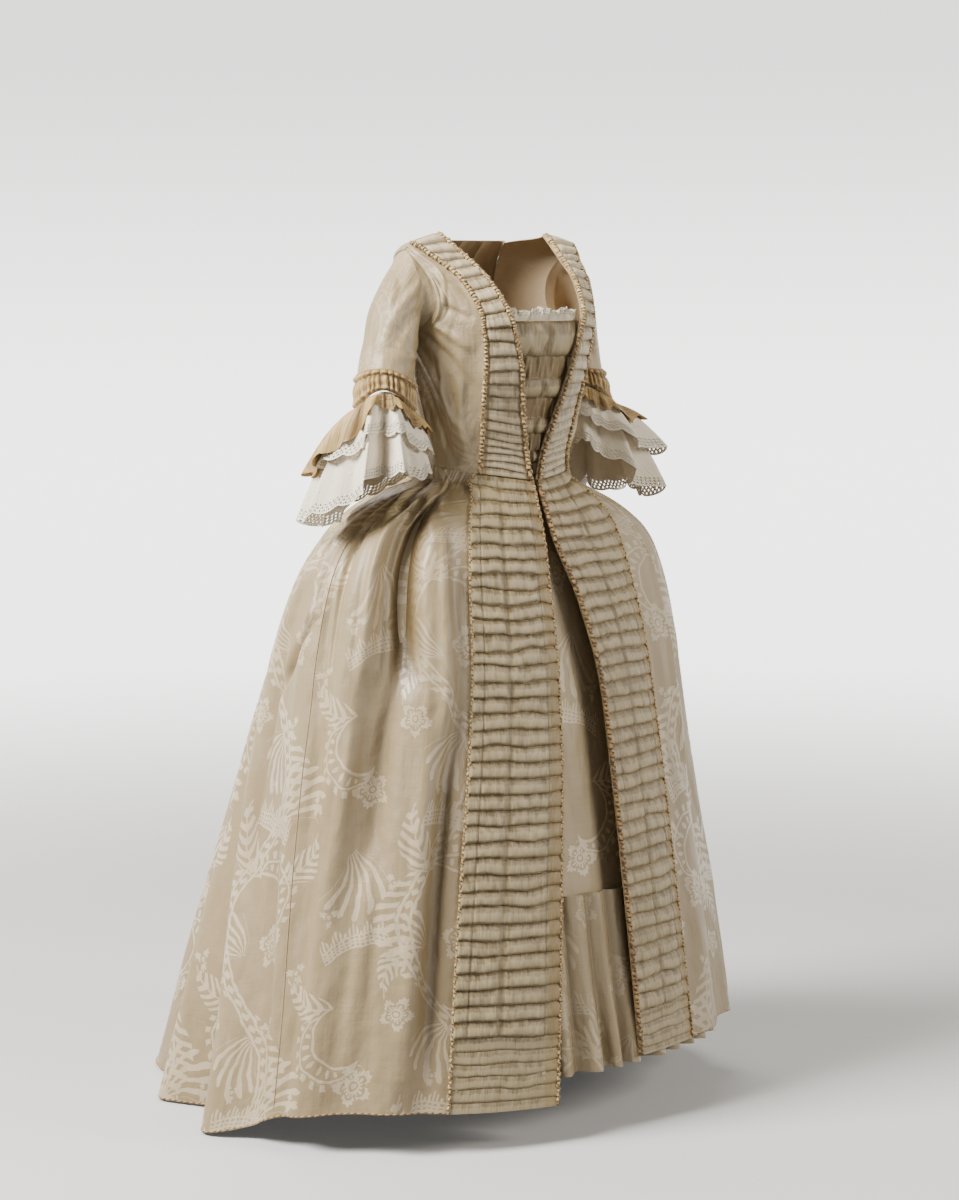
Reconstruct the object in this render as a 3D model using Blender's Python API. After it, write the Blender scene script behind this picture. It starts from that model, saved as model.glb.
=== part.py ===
"""A robe à la française: an open gown with a sack back, its petticoat and its stomacher.

Units are metres. The wearer faces -Y, +X is the wearer's left and +Z is up. The origin is the
middle of the shoulder line, where a wearer's shoulders carry the gown. Heights in the tables are
above the floor, and HOLD_HEIGHT takes them into this frame. Angles go round the body from the
centre front (0) over the side (90) to the centre back (180), the same on both sides.
"""

import math
from typing import NamedTuple

import bmesh
import bpy
import numpy as np

COLLECTION = "robe_a_la_francaise"

HOLD_HEIGHT = 1.385      # shoulder line above the floor
CLOTH = 0.0016           # silk with its interlining
FINE_CLOTH = 0.0012      # linen and lace ruffles
SEAM = 0.0005            # gap at a level seam
SEAM_ANGLE = 0.12        # half the gap at an upright seam, in degrees round the body
TRAIN_HEIGHT = 0.004     # the train's hem, just clear of the floor
REST = 0.0005            # gap between a trimming and the cloth that it lies on
HOLE_CLEAR = 0.0028      # the sleeve starts this far outside the bodice, round the armhole
TINY = 1e-4              # step for slopes, in units of a sheet's own sides

RIGHT = -1
LEFT = 1


class Ring(NamedTuple):
    """A level section round the body."""

    height: float
    half_width: float
    front: float
    back: float


class Edge(NamedTuple):
    """A place along a panel's edge: how far out of the middle it is at a height."""

    height: float
    out: float


class Hem(NamedTuple):
    """The height of the skirt's hem at an angle round the body."""

    angle: float
    height: float


class Fold(NamedTuple):
    """A fold of the skirt's side: its place across the panel, and its reach at three heights."""

    place: float
    spread: float
    hip: float
    knee: float
    hem: float


class ArmRing(NamedTuple):
    """A section of a sleeve: its inner and outer points, and its middle and half size along Y."""

    inner: float
    inner_height: float
    outer: float
    outer_height: float
    y: float
    half_depth: float


class Row(NamedTuple):
    """A row of a bodice panel: its edge towards the opening or the back, and its outer edge."""

    part: float
    out: float
    height: float
    side_angle: float
    side_height: float


class BackRow(NamedTuple):
    """A row of a fitted back: how far its inner edge runs under the sack, and its height there."""

    part: float
    angle: float
    height: float


class Band(NamedTuple):
    """The share of a bodice front that its robing covers, at a part of its height."""

    part: float
    share: float


class Ruffle(NamedTuple):
    """A tier below the elbow: its inset, its start, the columns that shape it and its cloth."""

    name: str
    inset: float
    start: float
    length: str
    flare: str
    material: str


class RuffleSide(NamedTuple):
    """The ruffles in one direction from the arm: their flares and the length of each tier."""

    turn: float
    flare: float
    low_flare: float
    flounce: float
    upper: float
    lower: float


# The fitted bodice, from below the waist to the neck.
TORSO = (
    Ring(0.980, 0.126, 0.114, 0.120),
    Ring(1.030, 0.125, 0.112, 0.122),
    Ring(1.100, 0.137, 0.126, 0.110),
    Ring(1.180, 0.154, 0.149, 0.116),
    Ring(1.250, 0.164, 0.158, 0.120),
    Ring(1.310, 0.171, 0.122, 0.120),
    Ring(1.350, 0.171, 0.064, 0.106),
    Ring(1.365, 0.160, 0.040, 0.092),
    Ring(1.378, 0.128, 0.020, 0.070),
    Ring(1.385, 0.100, 0.012, 0.055),
)

# The robe's skirt over its side hoops, and above the waist the sack that hangs from the neck.
ROBE = (
    Ring(0.000, 0.452, 0.283, 0.650),
    Ring(0.120, 0.436, 0.268, 0.588),
    Ring(0.380, 0.398, 0.232, 0.466),
    Ring(0.660, 0.352, 0.192, 0.362),
    Ring(0.740, 0.338, 0.180, 0.322),
    Ring(0.850, 0.308, 0.156, 0.262),
    Ring(0.910, 0.276, 0.143, 0.222),
    Ring(0.950, 0.234, 0.131, 0.194),
    Ring(0.982, 0.178, 0.119, 0.170),
    Ring(1.005, 0.128, 0.112, 0.152),
    Ring(1.040, 0.126, 0.112, 0.150),
    Ring(1.150, 0.156, 0.120, 0.150),
    Ring(1.250, 0.178, 0.120, 0.141),
    Ring(1.320, 0.190, 0.100, 0.130),
    Ring(1.350, 0.184, 0.070, 0.114),
    Ring(1.376, 0.150, 0.026, 0.0850),
)

# The petticoat under it, which has no train.
PETTICOAT = (
    Ring(0.095, 0.412, 0.245, 0.350),
    Ring(0.360, 0.372, 0.205, 0.290),
    Ring(0.660, 0.316, 0.162, 0.215),
    Ring(0.860, 0.266, 0.128, 0.150),
    Ring(0.920, 0.226, 0.115, 0.132),
    Ring(0.955, 0.176, 0.105, 0.120),
    Ring(0.990, 0.112, 0.092, 0.100),
)

# Where the skirt's front edges, its trimmings' outer edges and its seams to the sack lie.
FRONT_EDGE = {
    RIGHT: (Edge(0.0, 0.082), Edge(0.30, 0.046), Edge(0.66, 0.010), Edge(0.90, 0.003), Edge(1.03, 0.002)),
    LEFT: (Edge(0.0, 0.094), Edge(0.30, 0.090), Edge(0.66, 0.078), Edge(0.82, 0.048), Edge(0.93, 0.010),
           Edge(1.03, 0.002)),
}
TRIM_EDGE = {
    RIGHT: (Edge(0.0, 0.262), Edge(0.30, 0.222), Edge(0.66, 0.167), Edge(0.92, 0.134), Edge(1.03, 0.084)),
    LEFT: (Edge(0.0, 0.236), Edge(0.30, 0.224), Edge(0.66, 0.206), Edge(0.92, 0.166), Edge(1.03, 0.084)),
}
SACK_EDGE = (
    Edge(0.00, 0.350), Edge(0.20, 0.320), Edge(0.46, 0.268), Edge(0.74, 0.206), Edge(0.90, 0.160),
    Edge(0.96, 0.134), Edge(1.04, 0.108), Edge(1.15, 0.108), Edge(1.25, 0.104), Edge(1.33, 0.094),
    Edge(1.376, 0.080),
)

# Hem heights: the wearer's left front is held higher, and the back lies on the floor as a train.
HEM = {
    RIGHT: (Hem(0, 0.056), Hem(25, 0.061), Hem(50, 0.067), Hem(78, 0.052), Hem(88, 0.036),
            Hem(98, TRAIN_HEIGHT), Hem(180, TRAIN_HEIGHT)),
    LEFT: (Hem(0, 0.106), Hem(40, 0.108), Hem(78, 0.092), Hem(96, 0.058), Hem(118, TRAIN_HEIGHT),
           Hem(180, TRAIN_HEIGHT)),
}

# Folds of the skirt's sides, from the trimming (0) to the seam of the sack (1).
FOLDS = {
    RIGHT: (
        Fold(0.10, 0.10, 0.010, 0.008, 0.003),
        Fold(0.25, 0.08, -0.018, -0.010, -0.004),
        Fold(0.35, 0.08, 0.020, 0.012, 0.005),
        Fold(0.45, 0.07, -0.022, -0.012, -0.004),
        Fold(0.55, 0.07, 0.010, 0.004, 0.000),
        Fold(0.66, 0.07, 0.006, 0.018, 0.044),
        Fold(0.76, 0.06, -0.018, -0.032, -0.046),
        Fold(0.86, 0.07, 0.008, 0.022, 0.040),
    ),
    LEFT: (
        Fold(0.10, 0.10, 0.012, 0.010, 0.008),
        Fold(0.25, 0.08, -0.018, -0.008, -0.006),
        Fold(0.40, 0.10, 0.020, 0.016, 0.016),
        Fold(0.52, 0.07, -0.020, -0.014, -0.008),
        Fold(0.65, 0.08, 0.016, 0.014, 0.016),
        Fold(0.77, 0.08, -0.012, -0.020, -0.030),
        Fold(0.90, 0.08, 0.014, 0.022, 0.030),
    ),
}
FOLD_HEIGHTS = (0.0, 0.45, 0.88, 0.99)       # hem, knee, hip, and the waist, where folds end
SACK_RELIEF_HEIGHTS = (0.0, 0.5, 0.95, 1.30, 1.376)
SACK_RELIEF = (0.030, 0.026, 0.020, 0.011, 0.008)
SACK_PLEATS = 4                              # two double box pleats side by side
SACK_TOP_PART = 1.0 / 3.0                    # the share of the sack's rows that lie above the waist
SACK_TOP_EASE = 0.6                          # how much closer those rows lie at the neck
SKIRT_TRIM_PART = 0.2                        # the trimming's outer edge, in the skirt's own u

WAIST_FRONT = 1.0032     # the waist seam rises evenly from the centre front to the side seam
WAIST_SIDE = 1.030
WAIST_SIDE_ANGLE = 95.0
STOMACHER_POINT = 0.996
STOMACHER_TOP = 1.250

ARMHOLE_MIDDLE = 1.2975
ARMHOLE_HALF = 0.0625
ARMHOLE_ANGLE = 26.0

# Bodice fronts: from the waist (0) to the shoulder seam (1).
FRONT_ROWS = (
    Row(0.000, 0.002, WAIST_FRONT, WAIST_SIDE_ANGLE, WAIST_SIDE),
    Row(0.125, 0.015, 1.060, 93.0, 1.085),
    Row(0.250, 0.031, 1.120, 91.5, 1.140),
    Row(0.375, 0.046, 1.185, 90.5, 1.190),
    Row(0.500, 0.061, 1.240, 90.0, 1.235),
)
NECK_EDGE = (Edge(1.240, 0.061), Edge(1.268, 0.070), Edge(1.310, 0.081), Edge(1.350, 0.091),
             Edge(1.384, 0.101))

# Fitted backs: from the waist to the shoulder seam.
BACK_ROWS = (
    BackRow(0.000, 150.0, WAIST_SIDE),
    BackRow(0.500, 150.0, 1.240),
    BackRow(0.750, 150.0, 1.330),
    BackRow(0.875, 150.0, 1.370),
    BackRow(1.000, 90.2, 1.384),
)

ROBING = (Band(0.0, 0.46), Band(0.25, 0.36), Band(0.5, 0.28), Band(0.65, 0.36), Band(1.0, 0.72))
ROBING_PART = 0.4            # the robing's outer edge, in the panel's own u

STOMACHER_EDGE = (Edge(0.996, 0.020), Edge(1.060, 0.033), Edge(1.120, 0.049), Edge(1.185, 0.064),
                  Edge(1.250, 0.082))
STOMACHER_SINK = 0.012       # the stomacher lies this far inside the bodice fronts
LACE_RISE = 0.022
LACE_WAVES = 5
LACE_WAVE_DEPTH = 0.0015

SLEEVE = {
    RIGHT: (
        ArmRing(0.166, 1.230, 0.171, 1.350, -0.002, 0.048),
        ArmRing(0.170, 1.211, 0.197, 1.320, -0.008, 0.051),
        ArmRing(0.171, 1.197, 0.228, 1.275, -0.014, 0.050),
        ArmRing(0.174, 1.184, 0.250, 1.222, -0.021, 0.048),
        ArmRing(0.180, 1.168, 0.264, 1.182, -0.028, 0.046),
        ArmRing(0.183, 1.156, 0.268, 1.164, -0.031, 0.045),
        ArmRing(0.185, 1.144, 0.271, 1.148, -0.034, 0.045),
    ),
    LEFT: (
        ArmRing(0.166, 1.230, 0.169, 1.348, 0.004, 0.046),
        ArmRing(0.168, 1.211, 0.190, 1.316, 0.012, 0.046),
        ArmRing(0.168, 1.197, 0.214, 1.272, 0.024, 0.044),
        ArmRing(0.170, 1.184, 0.232, 1.222, 0.034, 0.043),
        ArmRing(0.172, 1.168, 0.245, 1.182, 0.038, 0.043),
        ArmRing(0.174, 1.156, 0.254, 1.164, 0.038, 0.044),
        ArmRing(0.175, 1.144, 0.260, 1.148, 0.036, 0.045),
    ),
}
CUFF_START = 5.0 / 7.0       # the last two of the sleeve's seven stretches
CUFF_ARCH = 0.033            # the elbow edge falls this much on both sides of its highest point
ARCH_TURN = {RIGHT: 37.0, LEFT: 143.0}       # where it falls, in degrees from the inner seam
ARCH_ROW = 3.0               # the row of the sleeve above which nothing falls
ARCH_EASE = 1.5

RUFFLES = (
    Ruffle("flounce", 0.0000, 0.0045, "flounce", "flare", "tan_silk"),
    Ruffle("engageante_upper", 0.0075, 0.0025, "upper", "flare", "ruffle_lawn"),
    Ruffle("engageante_lower", 0.0140, 0.0030, "lower", "low_flare", "ruffle_lawn"),
)
RUFFLE_SIDES = {
    RIGHT: (
        RuffleSide(0, 0.048, 0.044, 0.040, 0.070, 0.110),
        RuffleSide(37, 0.056, 0.050, 0.036, 0.068, 0.096),
        RuffleSide(90, 0.048, 0.044, 0.026, 0.062, 0.115),
        RuffleSide(127, 0.042, 0.038, 0.024, 0.064, 0.128),
        RuffleSide(165, 0.056, 0.048, 0.050, 0.078, 0.150),
        RuffleSide(217, 0.084, 0.070, 0.100, 0.090, 0.176),
        RuffleSide(270, 0.068, 0.062, 0.120, 0.110, 0.180),
        RuffleSide(320, 0.054, 0.050, 0.070, 0.090, 0.140),
    ),
    LEFT: (
        RuffleSide(0, 0.030, 0.026, 0.040, 0.070, 0.105),
        RuffleSide(53, 0.034, 0.030, 0.026, 0.055, 0.095),
        RuffleSide(100, 0.078, 0.056, 0.030, 0.066, 0.115),
        RuffleSide(143, 0.118, 0.078, 0.032, 0.080, 0.145),
        RuffleSide(180, 0.108, 0.080, 0.046, 0.096, 0.165),
        RuffleSide(230, 0.078, 0.066, 0.090, 0.112, 0.180),
        RuffleSide(280, 0.055, 0.050, 0.105, 0.115, 0.165),
        RuffleSide(323, 0.036, 0.032, 0.070, 0.090, 0.130),
    ),
}
RUFFLE_FOLDS = 8
RUFFLE_FOLD_DEPTH = 0.010
RUFFLE_FULL = 0.14           # the drop at which the flare is full
RUFFLE_MOST = 1.3            # the flare's growth ends here, in parts of that drop
RUFFLE_EASE = 1.4            # rows lie closer where the flare starts
RUFFLE_SPRING = 0.6          # how soon a tier flares below its gathers
RUFFLE_DRIFT = 0.8           # unevenness of its folds, in radians

FLOUNCE_TOP = 0.365
FLOUNCE_ANGLES = (-36.0, 50.0)
FLOUNCE_PLEATS = 13
FLOUNCE_OFF = 0.004          # gap to the petticoat
FLOUNCE_TUCK = 0.004         # depth of its pleats at the stitching, and how much more at the hem
FLOUNCE_SWELL = 0.010
FLOUNCE_HEM = 0.002          # its hem ends this far above the petticoat's

HIP_ROWS = 0.30              # the share of the skirt's rows that lie closer, over the hips
HIP_EASE = 0.62

# How finely each sheet is made. The sack's rows below the waist meet the skirt's.
BODICE_COLUMNS = 10
BODICE_ROWS = 8
BACK_COLUMNS = 5
ROBING_COLUMNS = 4
STOMACHER_COLUMNS = 4
STOMACHER_ROWS = 7
SKIRT_COLUMNS = 25
SKIRT_ROWS = 12
TRIM_COLUMNS = 5
SACK_COLUMNS = 16
SACK_ROWS = 18
PETTICOAT_COLUMNS = 24
PETTICOAT_ROWS = 6
FLOUNCE_ROWS = 3
SLEEVE_COLUMNS = 12
SLEEVE_ROWS = 7
CUFF_ROWS = 2
RUFFLE_COLUMNS = 20
RUFFLE_ROWS = 2

# Thickness of the gathered trimmings, between their puffs and at them.
ROBING_DEPTH = (0.003, 0.007)
STOMACHER_DEPTH = (0.0025, 0.0055)
TRIM_DEPTH = (0.004, 0.008)
CUFF_DEPTH = 0.006

MATERIALS = {
    "damask": ((0.70, 0.61, 0.48), 0.45),
    "trim_silk": ((0.62, 0.52, 0.37), 0.48),
    "tan_silk": ((0.50, 0.33, 0.16), 0.50),
    "ruffle_lawn": ((0.82, 0.80, 0.76), 0.75),
    "lace": ((0.78, 0.73, 0.64), 0.80),
}


def smooth(places, values, at):
    """Read a short table as a smooth curve that doesn't overshoot."""
    x = np.asarray(places, float)
    y = np.asarray(values, float)
    order = np.argsort(x)
    x, y = x[order], y[order]
    step = np.diff(x)
    slope = np.diff(y) / step
    before, after = slope[:-1], slope[1:]
    total = np.where(before + after == 0.0, 1.0, before + after)
    middle = np.where(before * after > 0.0, 2.0 * before * after / total, 0.0)
    tangent = np.concatenate(([slope[0]], middle, [slope[-1]]))
    at = np.clip(at, x[0], x[-1])
    i = np.clip(np.searchsorted(x, at, side="right") - 1, 0, len(step) - 1)
    t = (at - x[i]) / step[i]
    keep = (1.0 + 2.0 * t) * (1.0 - t) ** 2 * y[i] + t * t * (3.0 - 2.0 * t) * y[i + 1]
    turn = t * (1.0 - t) ** 2 * tangent[i] - t * t * (1.0 - t) * tangent[i + 1]
    return keep + step[i] * turn


def column(table, name, at, key="height"):
    """Read one named column of a table along another."""
    return smooth([getattr(row, key) for row in table], [getattr(row, name) for row in table], at)


def edge(table, height):
    """Distance of an edge from the middle plane at a height."""
    return column(table, "out", height)


def bump(offset, spread):
    """A soft ridge: 1 in the middle and 0 past its spread."""
    return np.cos(np.clip(offset / spread, -1.0, 1.0) * math.pi / 2.0) ** 2


def ring_point(rings, angle, height, side, reach=0.0):
    """Point of a ring at an angle from the front, moved out level by a reach."""
    half = column(rings, "half_width", height)
    front = column(rings, "front", height)
    back = column(rings, "back", height)
    turn = np.radians(angle)
    depth = np.where(np.cos(turn) > 0.0, front, back)
    x, y = half * np.sin(turn), -depth * np.cos(turn)
    away_x, away_y = np.sin(turn) / half, -np.cos(turn) / depth
    length = np.hypot(away_x, away_y)
    return np.stack((side * (x + reach * away_x / length), y + reach * away_y / length,
                     height - HOLD_HEIGHT + 0.0 * x), axis=-1)


def angle_at(rings, out, height, behind=False):
    """Angle of the point of a ring that lies this far out of the middle plane."""
    half = column(rings, "half_width", height)
    turn = np.degrees(np.arcsin(np.clip(out / half, 0.0, 1.0)))
    return 180.0 - turn if behind else turn


# ------------------------------------------------------------------ sheets: u across, v along

def skirt_height(angle, fall, side):
    """Height of a skirt point at an angle: fall is 0 at the waist seam and 1 at the hem."""
    top = WAIST_FRONT + (WAIST_SIDE - WAIST_FRONT) * np.minimum(angle / WAIST_SIDE_ANGLE, 1.0) - SEAM
    low = column(HEM[side], "height", angle, "angle")
    return top + (low - top) * fall


def skirt_fall(v):
    """Fall of a skirt's row from the waist (0) to the hem (1): rows lie closer over the hips."""
    return np.where(v < HIP_ROWS, v * v / HIP_ROWS * HIP_EASE + v * (1.0 - HIP_EASE), v)


def skirt(u, v, side):
    """A side of the robe's skirt, from its front edge (0) to the seam of the sack (1)."""
    fall = skirt_fall(v)
    height = WAIST_FRONT - fall * WAIST_FRONT
    for _ in range(3):
        front = angle_at(ROBE, edge(FRONT_EDGE[side], height), height)
        trim = angle_at(ROBE, edge(TRIM_EDGE[side], height), height)
        seam = angle_at(ROBE, edge(SACK_EDGE, height), height, behind=True) - 0.5 * SEAM_ANGLE
        across = np.clip((u - SKIRT_TRIM_PART) / (1.0 - SKIRT_TRIM_PART), 0.0, 1.0)
        angle = np.where(u < SKIRT_TRIM_PART, front + (trim - front) * u / SKIRT_TRIM_PART,
                         trim + (seam - trim) * across)
        height = skirt_height(angle, fall, side)
    reach = 0.0 * height
    for fold in FOLDS[side]:
        size = smooth(FOLD_HEIGHTS, (fold.hem, fold.knee, fold.hip, 0.0), height)
        reach = reach + size * bump(across - fold.place, fold.spread) * (u > SKIRT_TRIM_PART)
    return ring_point(ROBE, angle, height, side, reach)


def sack(u, v):
    """The sack back: u across from the wearer's right to left, v from the neck to the floor."""
    top, waist = SACK_EDGE[-1].height, WAIST_SIDE - SEAM
    part = v / SACK_TOP_PART
    above = top + (waist - top) * (part * part * SACK_TOP_EASE + part * (1.0 - SACK_TOP_EASE))
    below = waist + (TRAIN_HEIGHT - waist) * skirt_fall((v - SACK_TOP_PART) / (1.0 - SACK_TOP_PART))
    height = np.where(v < SACK_TOP_PART, above, below)
    across = 2.0 * u - 1.0
    seam = angle_at(ROBE, edge(SACK_EDGE, height), height, behind=True) + 0.5 * SEAM_ANGLE
    angle = 180.0 - (180.0 - seam) * np.abs(across)
    side = np.where(across < 0.0, RIGHT, LEFT)
    wave = np.abs(np.sin(across * math.pi * SACK_PLEATS / 2.0))
    reach = smooth(SACK_RELIEF_HEIGHTS, SACK_RELIEF, height) * wave
    return ring_point(ROBE, angle, height, side, reach)


def petticoat(u, v):
    """The petticoat, u once round from the centre back, v from the waist to the hem."""
    top, low = PETTICOAT[-1].height, PETTICOAT[0].height
    height = top + (low - top) * skirt_fall(v)
    turn = (u - 0.5) * 360.0
    side = np.where(turn < 0.0, RIGHT, LEFT)
    return ring_point(PETTICOAT, np.abs(turn), height, side)


def flounce_band(u, v):
    """The petticoat's flounce: box pleats stitched down at the top and loose at the hem."""
    height = FLOUNCE_TOP + (PETTICOAT[0].height + FLOUNCE_HEM - FLOUNCE_TOP) * v
    turn = FLOUNCE_ANGLES[0] + (FLOUNCE_ANGLES[1] - FLOUNCE_ANGLES[0]) * u
    side = np.where(turn < 0.0, RIGHT, LEFT)
    wave = 0.5 - 0.5 * np.cos(u * FLOUNCE_PLEATS * 2.0 * math.pi)
    reach = FLOUNCE_OFF + (FLOUNCE_TUCK + FLOUNCE_SWELL * v * v) * wave
    return ring_point(PETTICOAT, np.abs(turn), height, side, reach)


def armhole(turn):
    """Angle and height of the armhole at a turn, from the front (180) over the top (90)."""
    across = ARMHOLE_ANGLE * np.cos(np.radians(turn))
    return 90.0 + across, ARMHOLE_MIDDLE + ARMHOLE_HALF * np.sin(np.radians(turn))


def armhole_edge(part, way):
    """Outer edge of a bodice panel over its armhole: part 0 at the armpit, 1 at the shoulder."""
    turn = -90.0 + 180.0 * part
    angle, height = armhole(turn)
    return 90.0 + way * (angle - 90.0), height


def panel_point(inner_angle, inner_height, outer_angle, outer_height, u, side):
    """Point of a bodice panel between its two edges."""
    angle = inner_angle + (outer_angle - inner_angle) * u
    height = inner_height + (outer_height - inner_height) * u
    return ring_point(TORSO, angle, height, side)


def bodice_front(u, v, side):
    """A bodice front: u from the opening (0) to the side (1), v from the waist to the shoulder."""
    split = FRONT_ROWS[-1].part
    low = np.minimum(v, split)
    part = np.clip((v - split) / (1.0 - split), 0.0, 1.0)
    neck_height = NECK_EDGE[0].height + (NECK_EDGE[-1].height - NECK_EDGE[0].height) * part
    height = np.where(v < split, column(FRONT_ROWS, "height", low, "part"), neck_height)
    out = np.where(v < split, column(FRONT_ROWS, "out", low, "part"), edge(NECK_EDGE, neck_height))
    hole_angle, hole_height = armhole_edge(part, -1.0)
    side_angle = np.where(v < split, column(FRONT_ROWS, "side_angle", low, "part"), hole_angle)
    side_height = np.where(v < split, column(FRONT_ROWS, "side_height", low, "part"), hole_height)
    robing = column(ROBING, "share", v, "part")
    past = (u - ROBING_PART) / (1.0 - ROBING_PART)
    share = np.where(u < ROBING_PART, u / ROBING_PART * robing, robing + (1.0 - robing) * past)
    inner = angle_at(TORSO, out, height)
    return panel_point(inner, height, side_angle - SEAM_ANGLE, side_height, share, side)


def bodice_back(u, v, side):
    """A fitted back panel: u from the side seam (0) to under the sack (1), v as on the front."""
    split = FRONT_ROWS[-1].part
    low = np.minimum(v, split)
    part = np.clip((v - split) / (1.0 - split), 0.0, 1.0)
    hole_angle, hole_height = armhole_edge(part, 1.0)
    side_angle = np.where(v < split, column(FRONT_ROWS, "side_angle", low, "part"), hole_angle)
    side_height = np.where(v < split, column(FRONT_ROWS, "side_height", low, "part"), hole_height)
    inner_angle = column(BACK_ROWS, "angle", v, "part")
    inner_height = column(BACK_ROWS, "height", v, "part")
    return panel_point(side_angle + SEAM_ANGLE, side_height, inner_angle, inner_height, u, side)


def stomacher(u, v):
    """The stomacher, u from the wearer's right to left, v from its point to its top."""
    height = STOMACHER_POINT + (STOMACHER_TOP - STOMACHER_POINT) * v
    across = (2.0 * u - 1.0) * edge(STOMACHER_EDGE, height)
    side = np.where(across < 0.0, RIGHT, LEFT)
    angle = angle_at(TORSO, np.abs(across), height)
    return ring_point(TORSO, angle, height, side, -STOMACHER_SINK)


def lace(u, v):
    """The frill that stands along the stomacher's top."""
    frill = stomacher(u, np.full_like(v, 1.0))
    frill[..., 1] += LACE_WAVE_DEPTH * np.cos(u * LACE_WAVES * 2.0 * math.pi)
    frill[..., 2] += SEAM + LACE_RISE * v
    return frill


def sleeve(u, v, side):
    """A sleeve: u once round from the inner seam, v from the armhole to the elbow."""
    turn = u * 2.0 * math.pi
    rings = SLEEVE[side]
    last = len(rings)
    place = v * last
    at = np.clip(place - 1.0, 0.0, last - 1.0)
    index = np.arange(last)
    inner = smooth(index, [ring.inner for ring in rings], at)
    inner_height = smooth(index, [ring.inner_height for ring in rings], at)
    outer = smooth(index, [ring.outer for ring in rings], at)
    outer_height = smooth(index, [ring.outer_height for ring in rings], at)
    y = smooth(index, [ring.y for ring in rings], at)
    half_depth = smooth(index, [ring.half_depth for ring in rings], at)
    blend = 0.5 - 0.5 * np.cos(turn)
    tube = np.stack((side * (inner + (outer - inner) * blend), y - half_depth * np.sin(turn),
                     inner_height + (outer_height - inner_height) * blend - HOLD_HEIGHT), axis=-1)
    hole_angle, hole_height = armhole(-90.0 - np.degrees(turn))
    hole = ring_point(TORSO, hole_angle, hole_height, side, HOLE_CLEAR)
    mix = np.clip(place, 0.0, 1.0)[..., None]
    arm = hole + (tube - hole) * mix
    share = np.clip((place - ARCH_ROW) / (last - ARCH_ROW), 0.0, 1.0)
    arm[..., 2] -= arch(turn, side) * share ** ARCH_EASE
    return arm


def arch(turn, side):
    """How far the elbow's edge falls at a turn round the arm."""
    return CUFF_ARCH * np.cos(turn - math.radians(ARCH_TURN[side])) ** 2


def around(table, name, turn):
    """Read one column of a table that goes once round, without a step where it closes."""
    values = [getattr(row, name) for row in table]
    places = [row.turn for row in table]
    places = [place + lap for lap in (-360.0, 0.0, 360.0) for place in places]
    return smooth(places, values * 3, np.mod(np.degrees(turn), 360.0))


def ruffle(u, v, side, tier):
    """A ruffle tier: u once round from the inner seam, v from the cuff to its uneven hem."""
    turn = u * 2.0 * math.pi
    cuff = SLEEVE[side][-1]
    middle = 0.5 * (cuff.inner + cuff.outer)
    radius = 0.5 * (cuff.outer - cuff.inner)
    top = 0.5 * (cuff.inner_height + cuff.outer_height)
    sides = RUFFLE_SIDES[side]
    length = around(sides, tier.length, turn)
    drop = tier.start + (length - tier.start) * v ** RUFFLE_EASE
    share = np.clip(drop / RUFFLE_FULL, 0.0, RUFFLE_MOST) ** RUFFLE_SPRING
    wave = np.sin(turn * RUFFLE_FOLDS + RUFFLE_DRIFT * np.sin(turn * 2.0))
    reach = radius - tier.inset + (around(sides, tier.flare, turn) + RUFFLE_FOLD_DEPTH * wave) * share
    slope = (cuff.outer_height - cuff.inner_height) * 0.5 * -np.cos(turn)
    return np.stack((side * (middle - reach * np.cos(turn)), cuff.y - reach * np.sin(turn),
                     top + slope - arch(turn, side) - drop - HOLD_HEIGHT), axis=-1)


# ------------------------------------------------------------------ solids

def slopes_normal(sheet, u, v, outward):
    """Unit normals of a sheet at its points; outward is 1 or -1 and picks their side."""
    across = sheet(np.minimum(u + TINY, 1.0), v) - sheet(np.maximum(u - TINY, 0.0), v)
    along = sheet(u, np.minimum(v + TINY, 1.0)) - sheet(u, np.maximum(v - TINY, 0.0))
    normal = np.cross(across, along)
    normal = normal / np.maximum(np.linalg.norm(normal, axis=-1, keepdims=True), 1e-12)
    return normal * outward


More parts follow.
